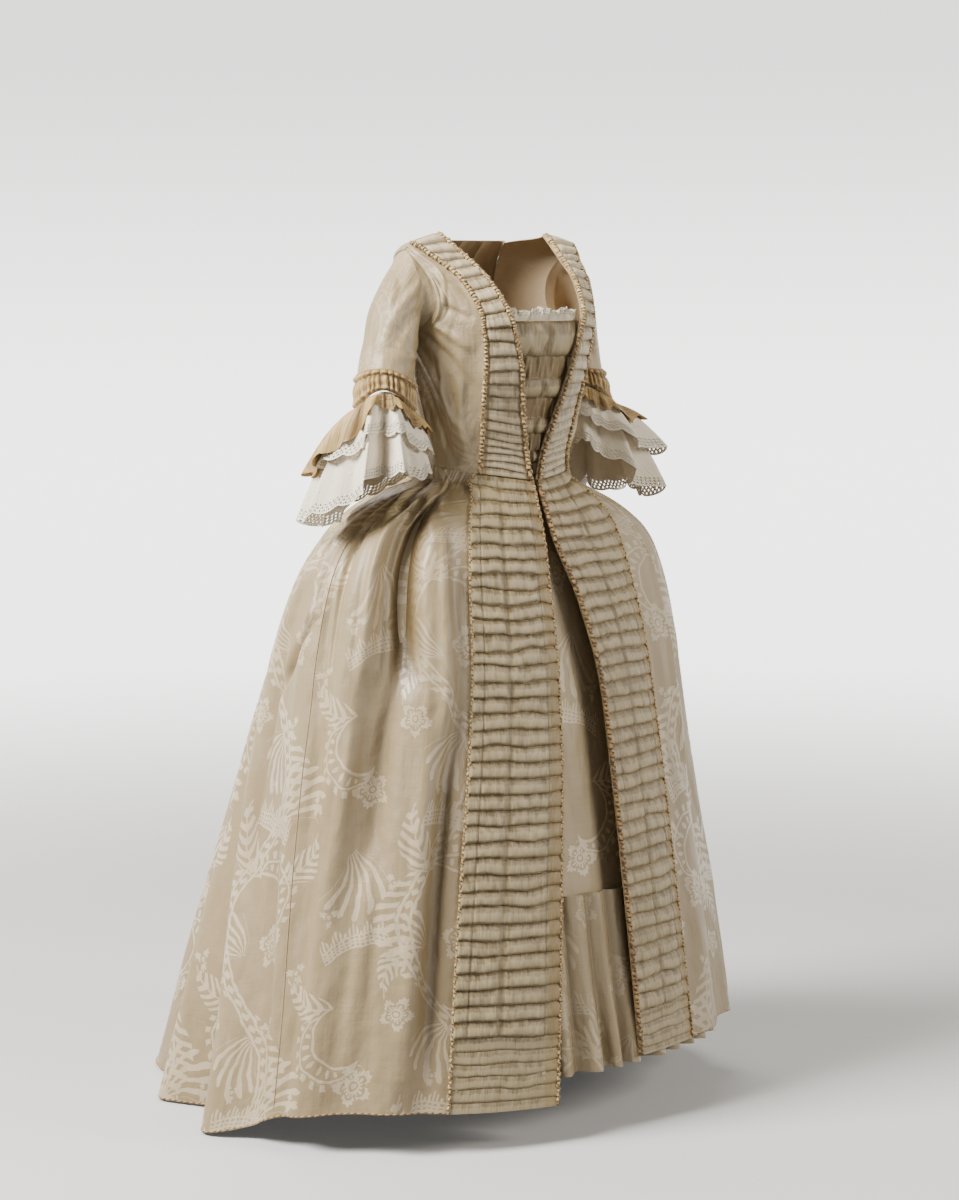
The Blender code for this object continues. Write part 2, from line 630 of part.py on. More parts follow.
def make_wall(name, sheet, columns, rows, thickness, material, outward, lift=0.0, closed=False,
              reach_u=(0.0, 1.0), reach_v=(0.0, 1.0)):
    """Make a sheet of cloth from a grid: its points come from the sheet, moved out by the lift.

    The wall lies inside the sheet where the lift is 0, and outside it where the lift is above 0.
    A thickness may be a number or a function of the sheet's own u and v.
    """
    mesh = bmesh.new()
    bmesh.ops.create_grid(mesh, x_segments=columns, y_segments=rows, size=0.5)
    mark = mesh.verts.layers.int.new("point")
    u = np.array([vert.co.x + 0.5 for vert in mesh.verts])
    v = np.array([vert.co.y + 0.5 for vert in mesh.verts])
    u = reach_u[0] + (reach_u[1] - reach_u[0]) * np.round(u * columns) / columns
    v = reach_v[0] + (reach_v[1] - reach_v[0]) * np.round(v * rows) / rows
    normal = slopes_normal(sheet, u, v, outward)
    if closed:
        def wrapped(across, along):
            return sheet(np.mod(across, 1.0), along)

        at_seam = slopes_normal(wrapped, np.full_like(v, 0.5 * TINY), v, outward)
        normal = np.where((np.minimum(u, 1.0 - u) < TINY)[:, None], at_seam, normal)
    near = sheet(u, v) + normal * lift
    depth = thickness(u, v) if callable(thickness) else np.full_like(u, thickness)
    far = near + normal * (depth if lift > 0.0 else -depth)[:, None]
    for index, vert in enumerate(mesh.verts):
        vert[mark] = index
        vert.co = near[index]
    if closed:
        bmesh.ops.remove_doubles(mesh, verts=mesh.verts, dist=1e-6)
    bmesh.ops.triangulate(mesh, faces=mesh.faces, quad_method="FIXED")
    made = bmesh.ops.extrude_face_region(mesh, geom=list(mesh.faces), use_keep_orig=True)
    for item in made["geom"]:
        if isinstance(item, bmesh.types.BMVert):
            item.co = far[item[mark]]
    bmesh.ops.recalc_face_normals(mesh, faces=mesh.faces)
    add_object(name, mesh, material)


def add_object(name, mesh, material):
    """Put a finished bmesh into the collection as a named object with its material."""
    data = bpy.data.meshes.new(name)
    mesh.to_mesh(data)
    mesh.free()
    data.materials.append(bpy.data.materials[material])
    data.shade_smooth()
    data.set_sharp_from_angle(angle=math.radians(40.0))
    bpy.data.collections[COLLECTION].objects.link(bpy.data.objects.new(name, data))


def clear_scene():
    """Remove every object that the file opened with."""
    for thing in list(bpy.data.objects):
        bpy.data.objects.remove(thing, do_unlink=True)


def make_materials():
    """Make one plain material for each cloth."""
    for name, (colour, roughness) in MATERIALS.items():
        material = bpy.data.materials.new(name)
        material.use_nodes = True
        shader = material.node_tree.nodes["Principled BSDF"]
        shader.inputs["Base Color"].default_value = (*colour, 1.0)
        shader.inputs["Roughness"].default_value = roughness
        shader.inputs["Metallic"].default_value = 0.0


def puffs(rows, low, high):
    """Thickness of a gathered trimming: high on every second row and low between."""
    def depth(_u, v):
        return np.where(np.round(v * rows) % 2 == 1, high, low)
    return depth


def make_bodice():
    """Make the fitted fronts and backs, the robings and the stomacher."""
    for side, word in ((RIGHT, "right"), (LEFT, "left")):
        def front(u, v, side=side):
            return bodice_front(u, v, side)

        def back(u, v, side=side):
            return bodice_back(u, v, side)

        make_wall(f"bodice_front_{word}", front, BODICE_COLUMNS, BODICE_ROWS, CLOTH, "damask", side)
        make_wall(f"bodice_back_{word}", back, BACK_COLUMNS, BODICE_ROWS, CLOTH, "damask", side)
        make_wall(f"robing_{word}", front, ROBING_COLUMNS, BODICE_ROWS, puffs(BODICE_ROWS, *ROBING_DEPTH),
                  "trim_silk", side, lift=REST, reach_u=(0.0, ROBING_PART))
    make_wall("stomacher", stomacher, STOMACHER_COLUMNS, STOMACHER_ROWS, CLOTH, "damask", 1)
    make_wall("stomacher_trim", stomacher, STOMACHER_COLUMNS, STOMACHER_ROWS,
              puffs(STOMACHER_ROWS, *STOMACHER_DEPTH), "trim_silk", 1, lift=REST)
    make_wall("stomacher_lace", lace, LACE_WAVES * 2, 1, FINE_CLOTH, "lace", 1)


def make_skirts():
    """Make the robe's skirt, its trimmings, the sack back and the petticoat."""
    for side, word in ((RIGHT, "right"), (LEFT, "left")):
        def panel(u, v, side=side):
            return skirt(u, v, side)

        make_wall(f"skirt_{word}", panel, SKIRT_COLUMNS, SKIRT_ROWS, CLOTH, "damask", -side)
        make_wall(f"skirt_trim_{word}", panel, TRIM_COLUMNS, SKIRT_ROWS, puffs(SKIRT_ROWS, *TRIM_DEPTH),
                  "trim_silk", -side, lift=REST, reach_u=(0.0, SKIRT_TRIM_PART))
    make_wall("sack_back", sack, SACK_COLUMNS, SACK_ROWS, CLOTH, "damask", 1)
    make_wall("petticoat", petticoat, PETTICOAT_COLUMNS, PETTICOAT_ROWS, CLOTH, "damask", -1, closed=True)
    make_wall("petticoat_flounce", flounce_band, FLOUNCE_PLEATS * 2, FLOUNCE_ROWS, CLOTH, "damask", -1)


def make_arms():
    """Make the sleeves with their cuff bands and the ruffles below them."""
    for side, word in ((RIGHT, "right"), (LEFT, "left")):
        def arm(u, v, side=side):
            return sleeve(u, v, side)

        make_wall(f"sleeve_{word}", arm, SLEEVE_COLUMNS, SLEEVE_ROWS, CLOTH, "damask", -side, closed=True)
        make_wall(f"cuff_band_{word}", arm, SLEEVE_COLUMNS, CUFF_ROWS, CUFF_DEPTH, "tan_silk", -side,
                  lift=REST, closed=True, reach_v=(CUFF_START, 1.0))
        for tier in RUFFLES:
            def fall(u, v, side=side, tier=tier):
                return ruffle(u, v, side, tier)

            make_wall(f"{tier.name}_{word}", fall, RUFFLE_COLUMNS, RUFFLE_ROWS, FINE_CLOTH, tier.material,
                      -side, closed=True)


def main():
    """Build the gown."""
    clear_scene()
    bpy.context.scene.collection.children.link(bpy.data.collections.new(COLLECTION))
    make_materials()
    make_bodice()
    make_skirts()
    make_arms()


main()
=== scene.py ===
"""The finished look of a robe à la française: silk damask, gathered trimmings, gimp and ruffles.

Units are metres. The wearer faces -Y, +X is the wearer's left and +Z is up, and the origin is the
middle of the shoulder line. Heights in the tables are above the floor, and HOLD_HEIGHT takes them
into this frame. Angles go round the body from the centre front (0) to the centre back (180).
"""

import logging
import math
from collections.abc import Callable, Iterator, Sequence
from contextlib import contextmanager
from dataclasses import dataclass, field, replace
from enum import Enum
from typing import Any, NamedTuple

import bmesh
import bpy
import numpy as np
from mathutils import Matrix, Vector


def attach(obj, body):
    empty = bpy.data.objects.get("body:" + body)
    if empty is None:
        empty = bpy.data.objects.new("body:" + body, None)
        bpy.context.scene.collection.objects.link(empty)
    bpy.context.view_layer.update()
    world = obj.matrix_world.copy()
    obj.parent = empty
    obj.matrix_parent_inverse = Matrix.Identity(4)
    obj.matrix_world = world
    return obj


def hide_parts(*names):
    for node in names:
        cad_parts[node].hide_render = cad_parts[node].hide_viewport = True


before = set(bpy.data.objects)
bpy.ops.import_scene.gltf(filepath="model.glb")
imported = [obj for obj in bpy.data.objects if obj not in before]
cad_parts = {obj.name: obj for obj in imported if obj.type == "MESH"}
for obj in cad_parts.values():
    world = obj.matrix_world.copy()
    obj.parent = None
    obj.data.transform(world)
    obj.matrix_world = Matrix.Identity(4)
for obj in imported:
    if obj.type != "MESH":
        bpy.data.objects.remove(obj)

LOG = logging.getLogger("gown")
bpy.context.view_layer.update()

Array = np.ndarray
Colour = tuple[float, float, float]
Sheet = Callable[[Array, Array], Array]
Marks = dict[str, Callable[[Array, Array], Array]]

FULL_TURN = 2.0 * math.pi
TINY = 1e-4                 # a short step along a sheet, for its directions
NOTHING = 1e-12             # keeps a length from being 0
SAME = 1e-6                 # points closer than this are one point
STRIP_END = 1.6             # longer than any strip
CORD_SIDES = 6
HOLD_HEIGHT = 1.385
SILK = 0.0012               # thickness of the silk with its lining
FINE = 0.0007               # thickness of lawn, lace and a frill
SEAM = 0.0005
SEAM_ANGLE = 0.12
SINK = -0.0002              # a lifted sheet's edge lies this far under the solid's face
SKIN = 0.0007               # a gathered skin starts this far off the cloth under it
TRAIN_HEIGHT = 0.004


class Side(Enum):
    """The wearer's side that a piece is on."""

    RIGHT = -1
    LEFT = 1

    @property
    def word(self) -> str:
        """The side's word in a piece's name."""
        return self.name.lower()


class Ring(NamedTuple):
    """A level section round the body."""

    height: float
    half_width: float
    front: float
    back: float


class Edge(NamedTuple):
    """How far out of the middle an edge is at a height."""

    height: float
    out: float


class Hem(NamedTuple):
    """The height of the skirt's hem at an angle round the body."""

    angle: float
    height: float


class Fold(NamedTuple):
    """A fold of a skirt's side: its place at the hip and at the hem, its spread, and its reach."""

    place: float
    low_place: float
    spread: float
    hip: float
    knee: float
    hem: float


class Crease(NamedTuple):
    """A soft crease on a panel, from one place to another in shares of it: a ridge, or a trough below 0."""

    across: float
    along: float
    end_across: float
    end_along: float
    width: float
    depth: float


class ArmRing(NamedTuple):
    """A section of a sleeve: inner and outer point, and its middle and half size along Y."""

    inner: float
    inner_height: float
    outer: float
    outer_height: float
    y: float
    half_depth: float


class Row(NamedTuple):
    """A row of a bodice front: its opening edge and its side edge."""

    part: float
    out: float
    height: float
    side_angle: float
    side_height: float


class BackRow(NamedTuple):
    """A row of a fitted back: its edge under the sack."""

    part: float
    angle: float
    height: float


class Tier(NamedTuple):
    """A tier below the elbow: inset and start, the columns that shape it, and its hem's scallops.

    The scallops are counted over half a turn.
    """

    name: str
    inset: float
    start: float
    length: str
    flare: str
    scallops: float
    deep: float


class TierSide(NamedTuple):
    """The tiers in one direction from the arm: their flares and lengths."""

    turn: float
    flare: float
    low_flare: float
    flounce: float
    upper: float
    lower: float


class Band(NamedTuple):
    """A row of the stomacher's trimming, from a height up to the next one."""

    low: float
    high: float
    ruched: bool


def table(kind: type, *rows: tuple[Any, ...]) -> tuple[Any, ...]:
    """A table whose rows are all of one named tuple."""
    return tuple(kind(*row) for row in rows)


def smooth(places: Sequence[float], values: Sequence[float], at: Array) -> Array:
    """Read a short table as a smooth curve that doesn't overshoot.

    Args:
        places: Where the table's values stand, in any order.
        values: The values there.
        at: Where to read.

    Returns:
        The curve's values.
    """
    x = np.asarray(places, float)
    y = np.asarray(values, float)
    order = np.argsort(x)
    x, y = x[order], y[order]
    step = np.diff(x)
    slope = np.diff(y) / step
    before, after = slope[:-1], slope[1:]
    total = np.where(before + after == 0.0, 1.0, before + after)
    middle = np.where(before * after > 0.0, 2.0 * before * after / total, 0.0)
    tangent = np.concatenate(([slope[0]], middle, [slope[-1]]))
    at = np.clip(at, x[0], x[-1])
    i = np.clip(np.searchsorted(x, at, side="right") - 1, 0, len(step) - 1)
    t = (at - x[i]) / step[i]
    keep = (1.0 + 2.0 * t) * (1.0 - t) ** 2 * y[i] + t * t * (3.0 - 2.0 * t) * y[i + 1]
    turn = t * (1.0 - t) ** 2 * tangent[i] - t * t * (1.0 - t) * tangent[i + 1]
    return keep + step[i] * turn


def column(rows: Sequence[Any], name: str, at: Array, key: str = "height") -> Array:
    """Read one named column of a table along another.

    Args:
        rows: Rows that are all of one named tuple.
        name: The column to read.
        at: Where to read, in the key column's unit.
        key: The column that says where a row stands.

    Returns:
        The column's values.
    """
    return smooth([getattr(row, key) for row in rows], [getattr(row, name) for row in rows], at)


def bump(offset: Array, spread: float | Array) -> Array:
    """A soft ridge: 1 in the middle and 0 past its spread."""
    return np.cos(np.clip(offset / spread, -1.0, 1.0) * math.pi / 2.0) ** 2


def step_up(at: Array, low: float, high: float) -> Array:
    """A soft step from 0 at low to 1 at high."""
    t = np.clip((at - low) / (high - low), 0.0, 1.0)
    return t * t * (3.0 - 2.0 * t)


def inside(at: Array, first: float, last: float) -> Array:
    """1 inside a piece, and a soft fall to 0 over the first and the last share of it."""
    return step_up(at, 0.0, first) * step_up(1.0 - at, 0.0, last)


def rimmed(at: Array, rim: float) -> Array:
    """1 inside a piece, and an even fall to 0 over a rim along both of its edges."""
    return np.minimum(1.0, np.minimum(at, 1.0 - at) / rim)


def from_whole(number: Array) -> Array:
    """Distance from the nearest whole number, below 0 on its lower side."""
    return np.mod(number + 0.5, 1.0) - 0.5


def share_of(number: Array) -> tuple[Array, Array]:
    """The whole part of a number, and a soft step over the rest of it."""
    whole = np.floor(number)
    return whole, step_up(number - whole, 0.0, 1.0)


def wander(at: Array, wave: float, seed: float) -> Array:
    """Smooth uneven wandering between -1 and 1.

    Args:
        at: Where to read.
        wave: Distance from one turn to the next.
        seed: Picks another wandering.

    Returns:
        The wandering's values.
    """
    turn, part = share_of(at / wave)
    first, second = (np.mod(np.sin(i * 127.1 + seed * 311.7) * 43758.5453, 1.0) for i in (turn, turn + 1.0))
    return 2.0 * (first + (second - first) * part) - 1.0


def ripple(x: Array, y: Array, wave_x: float, wave_y: float, seed: float) -> Array:
    """Smooth uneven ripples between -1 and 1 over a surface.

    Args:
        x: Place across.
        y: Place along.
        wave_x: Distance between turns across.
        wave_y: Distance between turns along.
        seed: Picks other ripples.

    Returns:
        The ripples' values.
    """
    turn, part = share_of(y / wave_y)
    low, high = (wander(x + 7.31 * i * wave_x, wave_x, seed + 17.0) for i in (turn, turn + 1.0))
    return low + (high - low) * part


def creased(creases: Sequence[Crease], u: Array, v: Array, width: float, length: float) -> Array:
    """Height of a panel's listed creases.

    Args:
        creases: The creases, in shares of the panel.
        u: Place across the panel, 0 to 1.
        v: Place along it, 0 to 1.
        width: The panel's real width.
        length: The panel's real length.

    Returns:
        How far the creases stand out, in metres.
    """
    total = np.zeros_like(u)
    for crease in creases:
        run_x = (crease.end_across - crease.across) * width
        run_y = (crease.end_along - crease.along) * length
        reach = math.hypot(run_x, run_y)
        x, y = (u - crease.across) * width, (v - crease.along) * length
        along = np.clip((x * run_x + y * run_y) / reach ** 2, -0.2, 1.2)
        part = np.clip(along, 0.0, 1.0)
        bow = 0.012 * width * np.sin(part * math.pi) * np.sign(crease.depth)
        fade = step_up(along, -0.15, 0.25) * (1.0 - step_up(along, 0.70, 1.15))
        off = (x * run_y - y * run_x) / reach + bow
        total += crease.depth * bump(off, crease.width * (0.7 + 0.6 * part)) * fade
    return total


TORSO = table(Ring,
    (0.98, 0.126, 0.114, 0.12), (1.03, 0.125, 0.112, 0.122), (1.1, 0.137, 0.126, 0.11),
    (1.18, 0.154, 0.149, 0.116), (1.25, 0.164, 0.158, 0.12), (1.31, 0.171, 0.122, 0.12),
    (1.35, 0.171, 0.064, 0.106), (1.365, 0.16, 0.04, 0.092), (1.378, 0.128, 0.02, 0.07),
    (1.385, 0.1, 0.012, 0.055))
ROBE = table(Ring,
    (0.0, 0.452, 0.283, 0.65), (0.12, 0.436, 0.268, 0.588), (0.38, 0.398, 0.232, 0.466),
    (0.66, 0.352, 0.192, 0.362), (0.74, 0.338, 0.18, 0.322), (0.85, 0.308, 0.156, 0.262),
    (0.91, 0.276, 0.143, 0.222), (0.95, 0.234, 0.131, 0.194), (0.982, 0.178, 0.119, 0.17),
    (1.005, 0.128, 0.112, 0.152), (1.04, 0.126, 0.112, 0.15), (1.15, 0.156, 0.12, 0.15),
    (1.25, 0.178, 0.12, 0.141), (1.32, 0.19, 0.1, 0.13), (1.35, 0.184, 0.07, 0.114),
    (1.376, 0.15, 0.026, 0.085))
PETTICOAT = table(Ring,
    (0.095, 0.412, 0.245, 0.35), (0.36, 0.372, 0.205, 0.29), (0.66, 0.316, 0.162, 0.215),
    (0.86, 0.266, 0.128, 0.15), (0.92, 0.226, 0.115, 0.132), (0.955, 0.176, 0.105, 0.12),
    (0.99, 0.112, 0.092, 0.1))
FRONT_EDGE = {
    Side.RIGHT: table(Edge, (0.0, 0.082), (0.3, 0.046), (0.66, 0.01), (0.9, 0.003), (1.03, 0.002)),
    Side.LEFT: table(Edge, (0.0, 0.094), (0.3, 0.09), (0.66, 0.078), (0.82, 0.048), (0.93, 0.01), (1.03, 0.002)),
}
TRIM_EDGE = {
    Side.RIGHT: table(Edge, (0.0, 0.262), (0.3, 0.222), (0.66, 0.167), (0.92, 0.134), (1.03, 0.084)),
    Side.LEFT: table(Edge, (0.0, 0.236), (0.3, 0.224), (0.66, 0.206), (0.92, 0.166), (1.03, 0.084)),
}
SACK_EDGE = table(Edge,
    (0.0, 0.35), (0.2, 0.32), (0.46, 0.268), (0.74, 0.206), (0.9, 0.16), (0.96, 0.134), (1.04, 0.108),
    (1.15, 0.108), (1.25, 0.104), (1.33, 0.094), (1.376, 0.08))
HEM = {
    Side.RIGHT: table(Hem,
        (0, 0.056), (25, 0.061), (50, 0.067), (78, 0.052), (88, 0.036), (98, TRAIN_HEIGHT), (180, TRAIN_HEIGHT)),
    Side.LEFT: table(Hem,
        (0, 0.106), (40, 0.108), (78, 0.092), (96, 0.058), (118, TRAIN_HEIGHT), (180, TRAIN_HEIGHT)),
}
FOLD_HEIGHTS = (0.0, 0.45, 0.88, 0.99)
SKIRT_TRIM_PART = 0.2
WAIST_FRONT = 1.0032
WAIST_SIDE = 1.030
WAIST_SIDE_ANGLE = 95.0
ARMHOLE_MIDDLE = 1.2975
ARMHOLE_HALF = 0.0625
ARMHOLE_ANGLE = 26.0
HOLE_CLEAR = -0.0012
HOLE_LAP = 1.035
HIP_ROWS = 0.30
HIP_EASE = 0.62
ROBING_PART = 0.4
HEM_PLACE = 0.9985
HEM_BED = 0.02


def ring_point(rings: Sequence[Ring], angle: Array, height: Array, side: float,
               reach: Array | float = 0.0) -> Array:
    """Point of a ring at an angle from the front.

    Args:
        rings: The body's rings.
        angle: Degrees from the centre front, towards the side's own side.
        height: Height above the floor.
        side: -1 for the wearer's right and 1 for the left.
        reach: How far the point is moved out, level.

    Returns:
        The points in the part's frame.
    """
    half = column(rings, "half_width", height)
    front = column(rings, "front", height)
    back = column(rings, "back", height)
    turn = np.radians(angle)
    depth = np.where(np.cos(turn) > 0.0, front, back)
    x, y = half * np.sin(turn), -depth * np.cos(turn)
    away_x, away_y = np.sin(turn) / half, -np.cos(turn) / depth
    length = np.hypot(away_x, away_y)
    return np.stack((side * (x + reach * away_x / length), y + reach * away_y / length,
                     height - HOLD_HEIGHT + 0.0 * x), axis=-1)


def angle_at(rings: Sequence[Ring], out: Array, height: Array, behind: bool = False) -> Array:
    """Angle of the point of a ring that lies this far out of the middle plane.

    Args:
        rings: The body's rings.
        out: Distance from the middle plane.
        height: Height above the floor.
        behind: Whether the point lies on the back half.

    Returns:
        Degrees from the centre front.
    """
    half = column(rings, "half_width", height)
    turn = np.degrees(np.arcsin(np.clip(out / half, -1.0, 1.0)))
    return 180.0 - turn if behind else turn


def skirt_fall(v: Array) -> Array:
    """Fall of a skirt's row from the waist (0) to the hem (1): rows lie closer over the hips."""
    return np.where(v < HIP_ROWS, v * v / HIP_ROWS * HIP_EASE + v * (1.0 - HIP_EASE), v)


def armhole(turn: Array) -> tuple[Array, Array]:
    """Angle and height of the armhole at a turn, from the front (180) over the top (90)."""
    across = ARMHOLE_ANGLE * np.cos(np.radians(turn))
    return 90.0 + across, ARMHOLE_MIDDLE + ARMHOLE_HALF * np.sin(np.radians(turn))


def run_length(points: Array) -> Array:
    """Length along a row of points, from its first one."""
    return np.concatenate(([0.0], np.cumsum(np.linalg.norm(np.diff(points, axis=0), axis=1))))


def unit(way: Array) -> Array:
    """Vectors of length 1 that point the same way."""
    return way / np.maximum(np.linalg.norm(way, axis=-1, keepdims=True), NOTHING)


def normals(shape: Sheet, u: Array, v: Array) -> Array:
    """A sheet's own normals."""
    across = shape(u + TINY, v) - shape(u - TINY, v)
    return unit(np.cross(across, shape(u, v + TINY) - shape(u, v - TINY)))


def lifted(shape: Sheet, sign: float, lift: Callable[[Array, Array], Array]) -> Sheet:
    """A sheet moved out along its own normals.

    Args:
        shape: The sheet that it lies on.
        sign: 1 or -1, for the side that is out.
        lift: How far out it is at each place.

    Returns:
        The moved sheet.
    """
    def moved(u: Array, v: Array) -> Array:
        """The sheet's points, moved out."""
        return shape(u, v) + normals(shape, u, v) * (sign * lift(u, v))[..., None]
    return moved


class Field:
    """A number that changes over a surface, so that shader maths reads as Python maths."""

    def __init__(self, fabric: "Fabric", socket: Any) -> None:
        """Wrap an output socket of a fabric's nodes."""
        self.fabric = fabric
        self.socket = socket

    def math(self, operation: str, *others: "Field | float", clamp: bool = False) -> "Field":
        """Add one Math node.

        Args:
            operation: The node's operation.
            others: The values of its other sockets.
            clamp: Whether its result stays between 0 and 1.

        Returns:
            The result.
        """
        settings = {"operation": operation, "use_clamp": clamp}
        return self.fabric.value("ShaderNodeMath", settings, dict(enumerate((self, *others))))

    def __add__(self, other: "Field | float") -> "Field":
        """Sum."""
        return self.math("ADD", other)

    def __sub__(self, other: "Field | float") -> "Field":
        """Difference."""
        return self.math("SUBTRACT", other)

    def __rsub__(self, other: float) -> "Field":
        """Difference, turned round."""
        return self.fabric.value("ShaderNodeMath", {"operation": "SUBTRACT"}, {0: other, 1: self})

    def __mul__(self, other: "Field | float") -> "Field":
        """Product."""
        return self.math("MULTIPLY", other)

    __radd__ = __add__
    __rmul__ = __mul__

    def __abs__(self) -> "Field":
        """Size without its sign."""
        return self.math("ABSOLUTE")

    def least(self, other: "Field | float") -> "Field":
        """The smaller of two values."""
        return self.math("MINIMUM", other)

    def most(self, other: "Field | float") -> "Field":
        """The larger of two values."""
        return self.math("MAXIMUM", other)

    def cos(self) -> "Field":
        """Cosine."""
        return self.math("COSINE")

    def sin(self) -> "Field":
        """Sine."""
        return self.math("SINE")

    def ramp(self, low: float, high: float) -> "Field":
        """A soft step from 0 to 1.

        Args:
            low: Where it is 0.
            high: Where it is 1, which may lie below the other.

        Returns:
            The step.
        """
        if low > high:
            return 1.0 - self.ramp(high, low)
        return self.fabric.value("ShaderNodeMapRange", {"interpolation_type": "SMOOTHSTEP"},
                                 {"Value": self, "From Min": low, "From Max": high})


class Fabric:
    """A material's nodes, and the ways to add to them."""

    def __init__(self, name: str) -> None:
        """Start a material with a Principled shader."""
        self.material = bpy.data.materials.new(name)
        self.material.use_nodes = True
        self.tree = self.material.node_tree
        self.shader = self.tree.nodes["Principled BSDF"]

    def node(self, kind: str, settings: dict[str, Any], sockets: dict[int | str, Any]) -> Any:
        """Add a node: its settings first, then the values or links of its sockets.

        Args:
            kind: The node's type.
            settings: The node's own settings.
            sockets: Values, fields or output sockets for its inputs, by name or number.

        Returns:
            The node.
        """
        made = self.tree.nodes.new(kind)
        for name, value in settings.items():
            setattr(made, name, value)
        for name, value in sockets.items():
            self.plug(made.inputs[name], value)
        return made

    def plug(self, socket: Any, value: Any) -> None:
        """Link a field or an output into a socket, or set the socket's own value.

        Args:
            socket: The input socket.
            value: A field, an output socket, a colour, a vector or a number.
        """
        if isinstance(value, Field):
            value = value.socket
        if isinstance(value, bpy.types.NodeSocket):
            self.tree.links.new(value, socket)
        elif isinstance(value, tuple) and len(value) == 3 and socket.type == "RGBA":
            socket.default_value = (*value, 1.0)
        else:
            socket.default_value = value

    def value(self, kind: str, settings: dict[str, Any], sockets: dict[int | str, Any]) -> Field:
        """Add a node and take its first output as a number."""
        return Field(self, self.node(kind, settings, sockets).outputs[0])

    def uv(self) -> Any:
        """The piece's own cloth coordinates, in metres."""
        return self.node("ShaderNodeUVMap", {"uv_map": "cloth"}, {}).outputs[0]

    def mark(self, name: str) -> Field:
        """A number that the mesh holds at its points."""
        return Field(self, self.node("ShaderNodeAttribute", {"attribute_name": name}, {}).outputs["Fac"])

    def vector(self, operation: str, *values: Any) -> Any:
        """Add one Vector Math node and give its vector."""
        return self.node("ShaderNodeVectorMath", {"operation": operation}, dict(enumerate(values))).outputs[0]

    def split(self, vector: Any) -> tuple[Field, Field]:
        """The first two numbers of a vector."""
        made = self.node("ShaderNodeSeparateXYZ", {}, {0: vector})
        return Field(self, made.outputs[0]), Field(self, made.outputs[1])

    def noise(self, vector: Any, scale: tuple[float, float], detail: float = 2.0) -> Field:
        """Noise between 0 and 1.

        Args:
            vector: Cloth coordinates.
            scale: Its turns per metre, across and along.
            detail: How many finer layers it has.

        Returns:
            The noise.
        """
        at = self.vector("MULTIPLY", vector, (scale[0], scale[1], 1.0))
        made = self.node("ShaderNodeTexNoise", {}, {"Vector": at, "Scale": 1.0, "Detail": detail})
        return Field(self, made.outputs["Fac"])

    def mix(self, share: Field, first: Any, second: Any) -> Any:
        """A colour between two colours."""
        return self.node("ShaderNodeMix", {"data_type": "RGBA"}, {0: share, 6: first, 7: second}).outputs[2]

    def relief(self, height: Field, depth: float) -> Any:
        """The normal of a Bump node over a height field, in metres."""
        return self.node("ShaderNodeBump", {}, {"Height": height, "Distance": depth, "Strength": 1.0}).outputs[0]

    def finish(self, constants: dict[str, float], changing: dict[str, Any]) -> bpy.types.Material:
        """Set the shader's sockets.

        Args:
            constants: What is the same all over, by socket.
            changing: What changes over the surface, by socket.

        Returns:
            The material.
        """
        for name, value in constants.items():
            self.shader.inputs[name].default_value = value
        for name, value in changing.items():
            self.plug(self.shader.inputs[name], value)
        return self.material


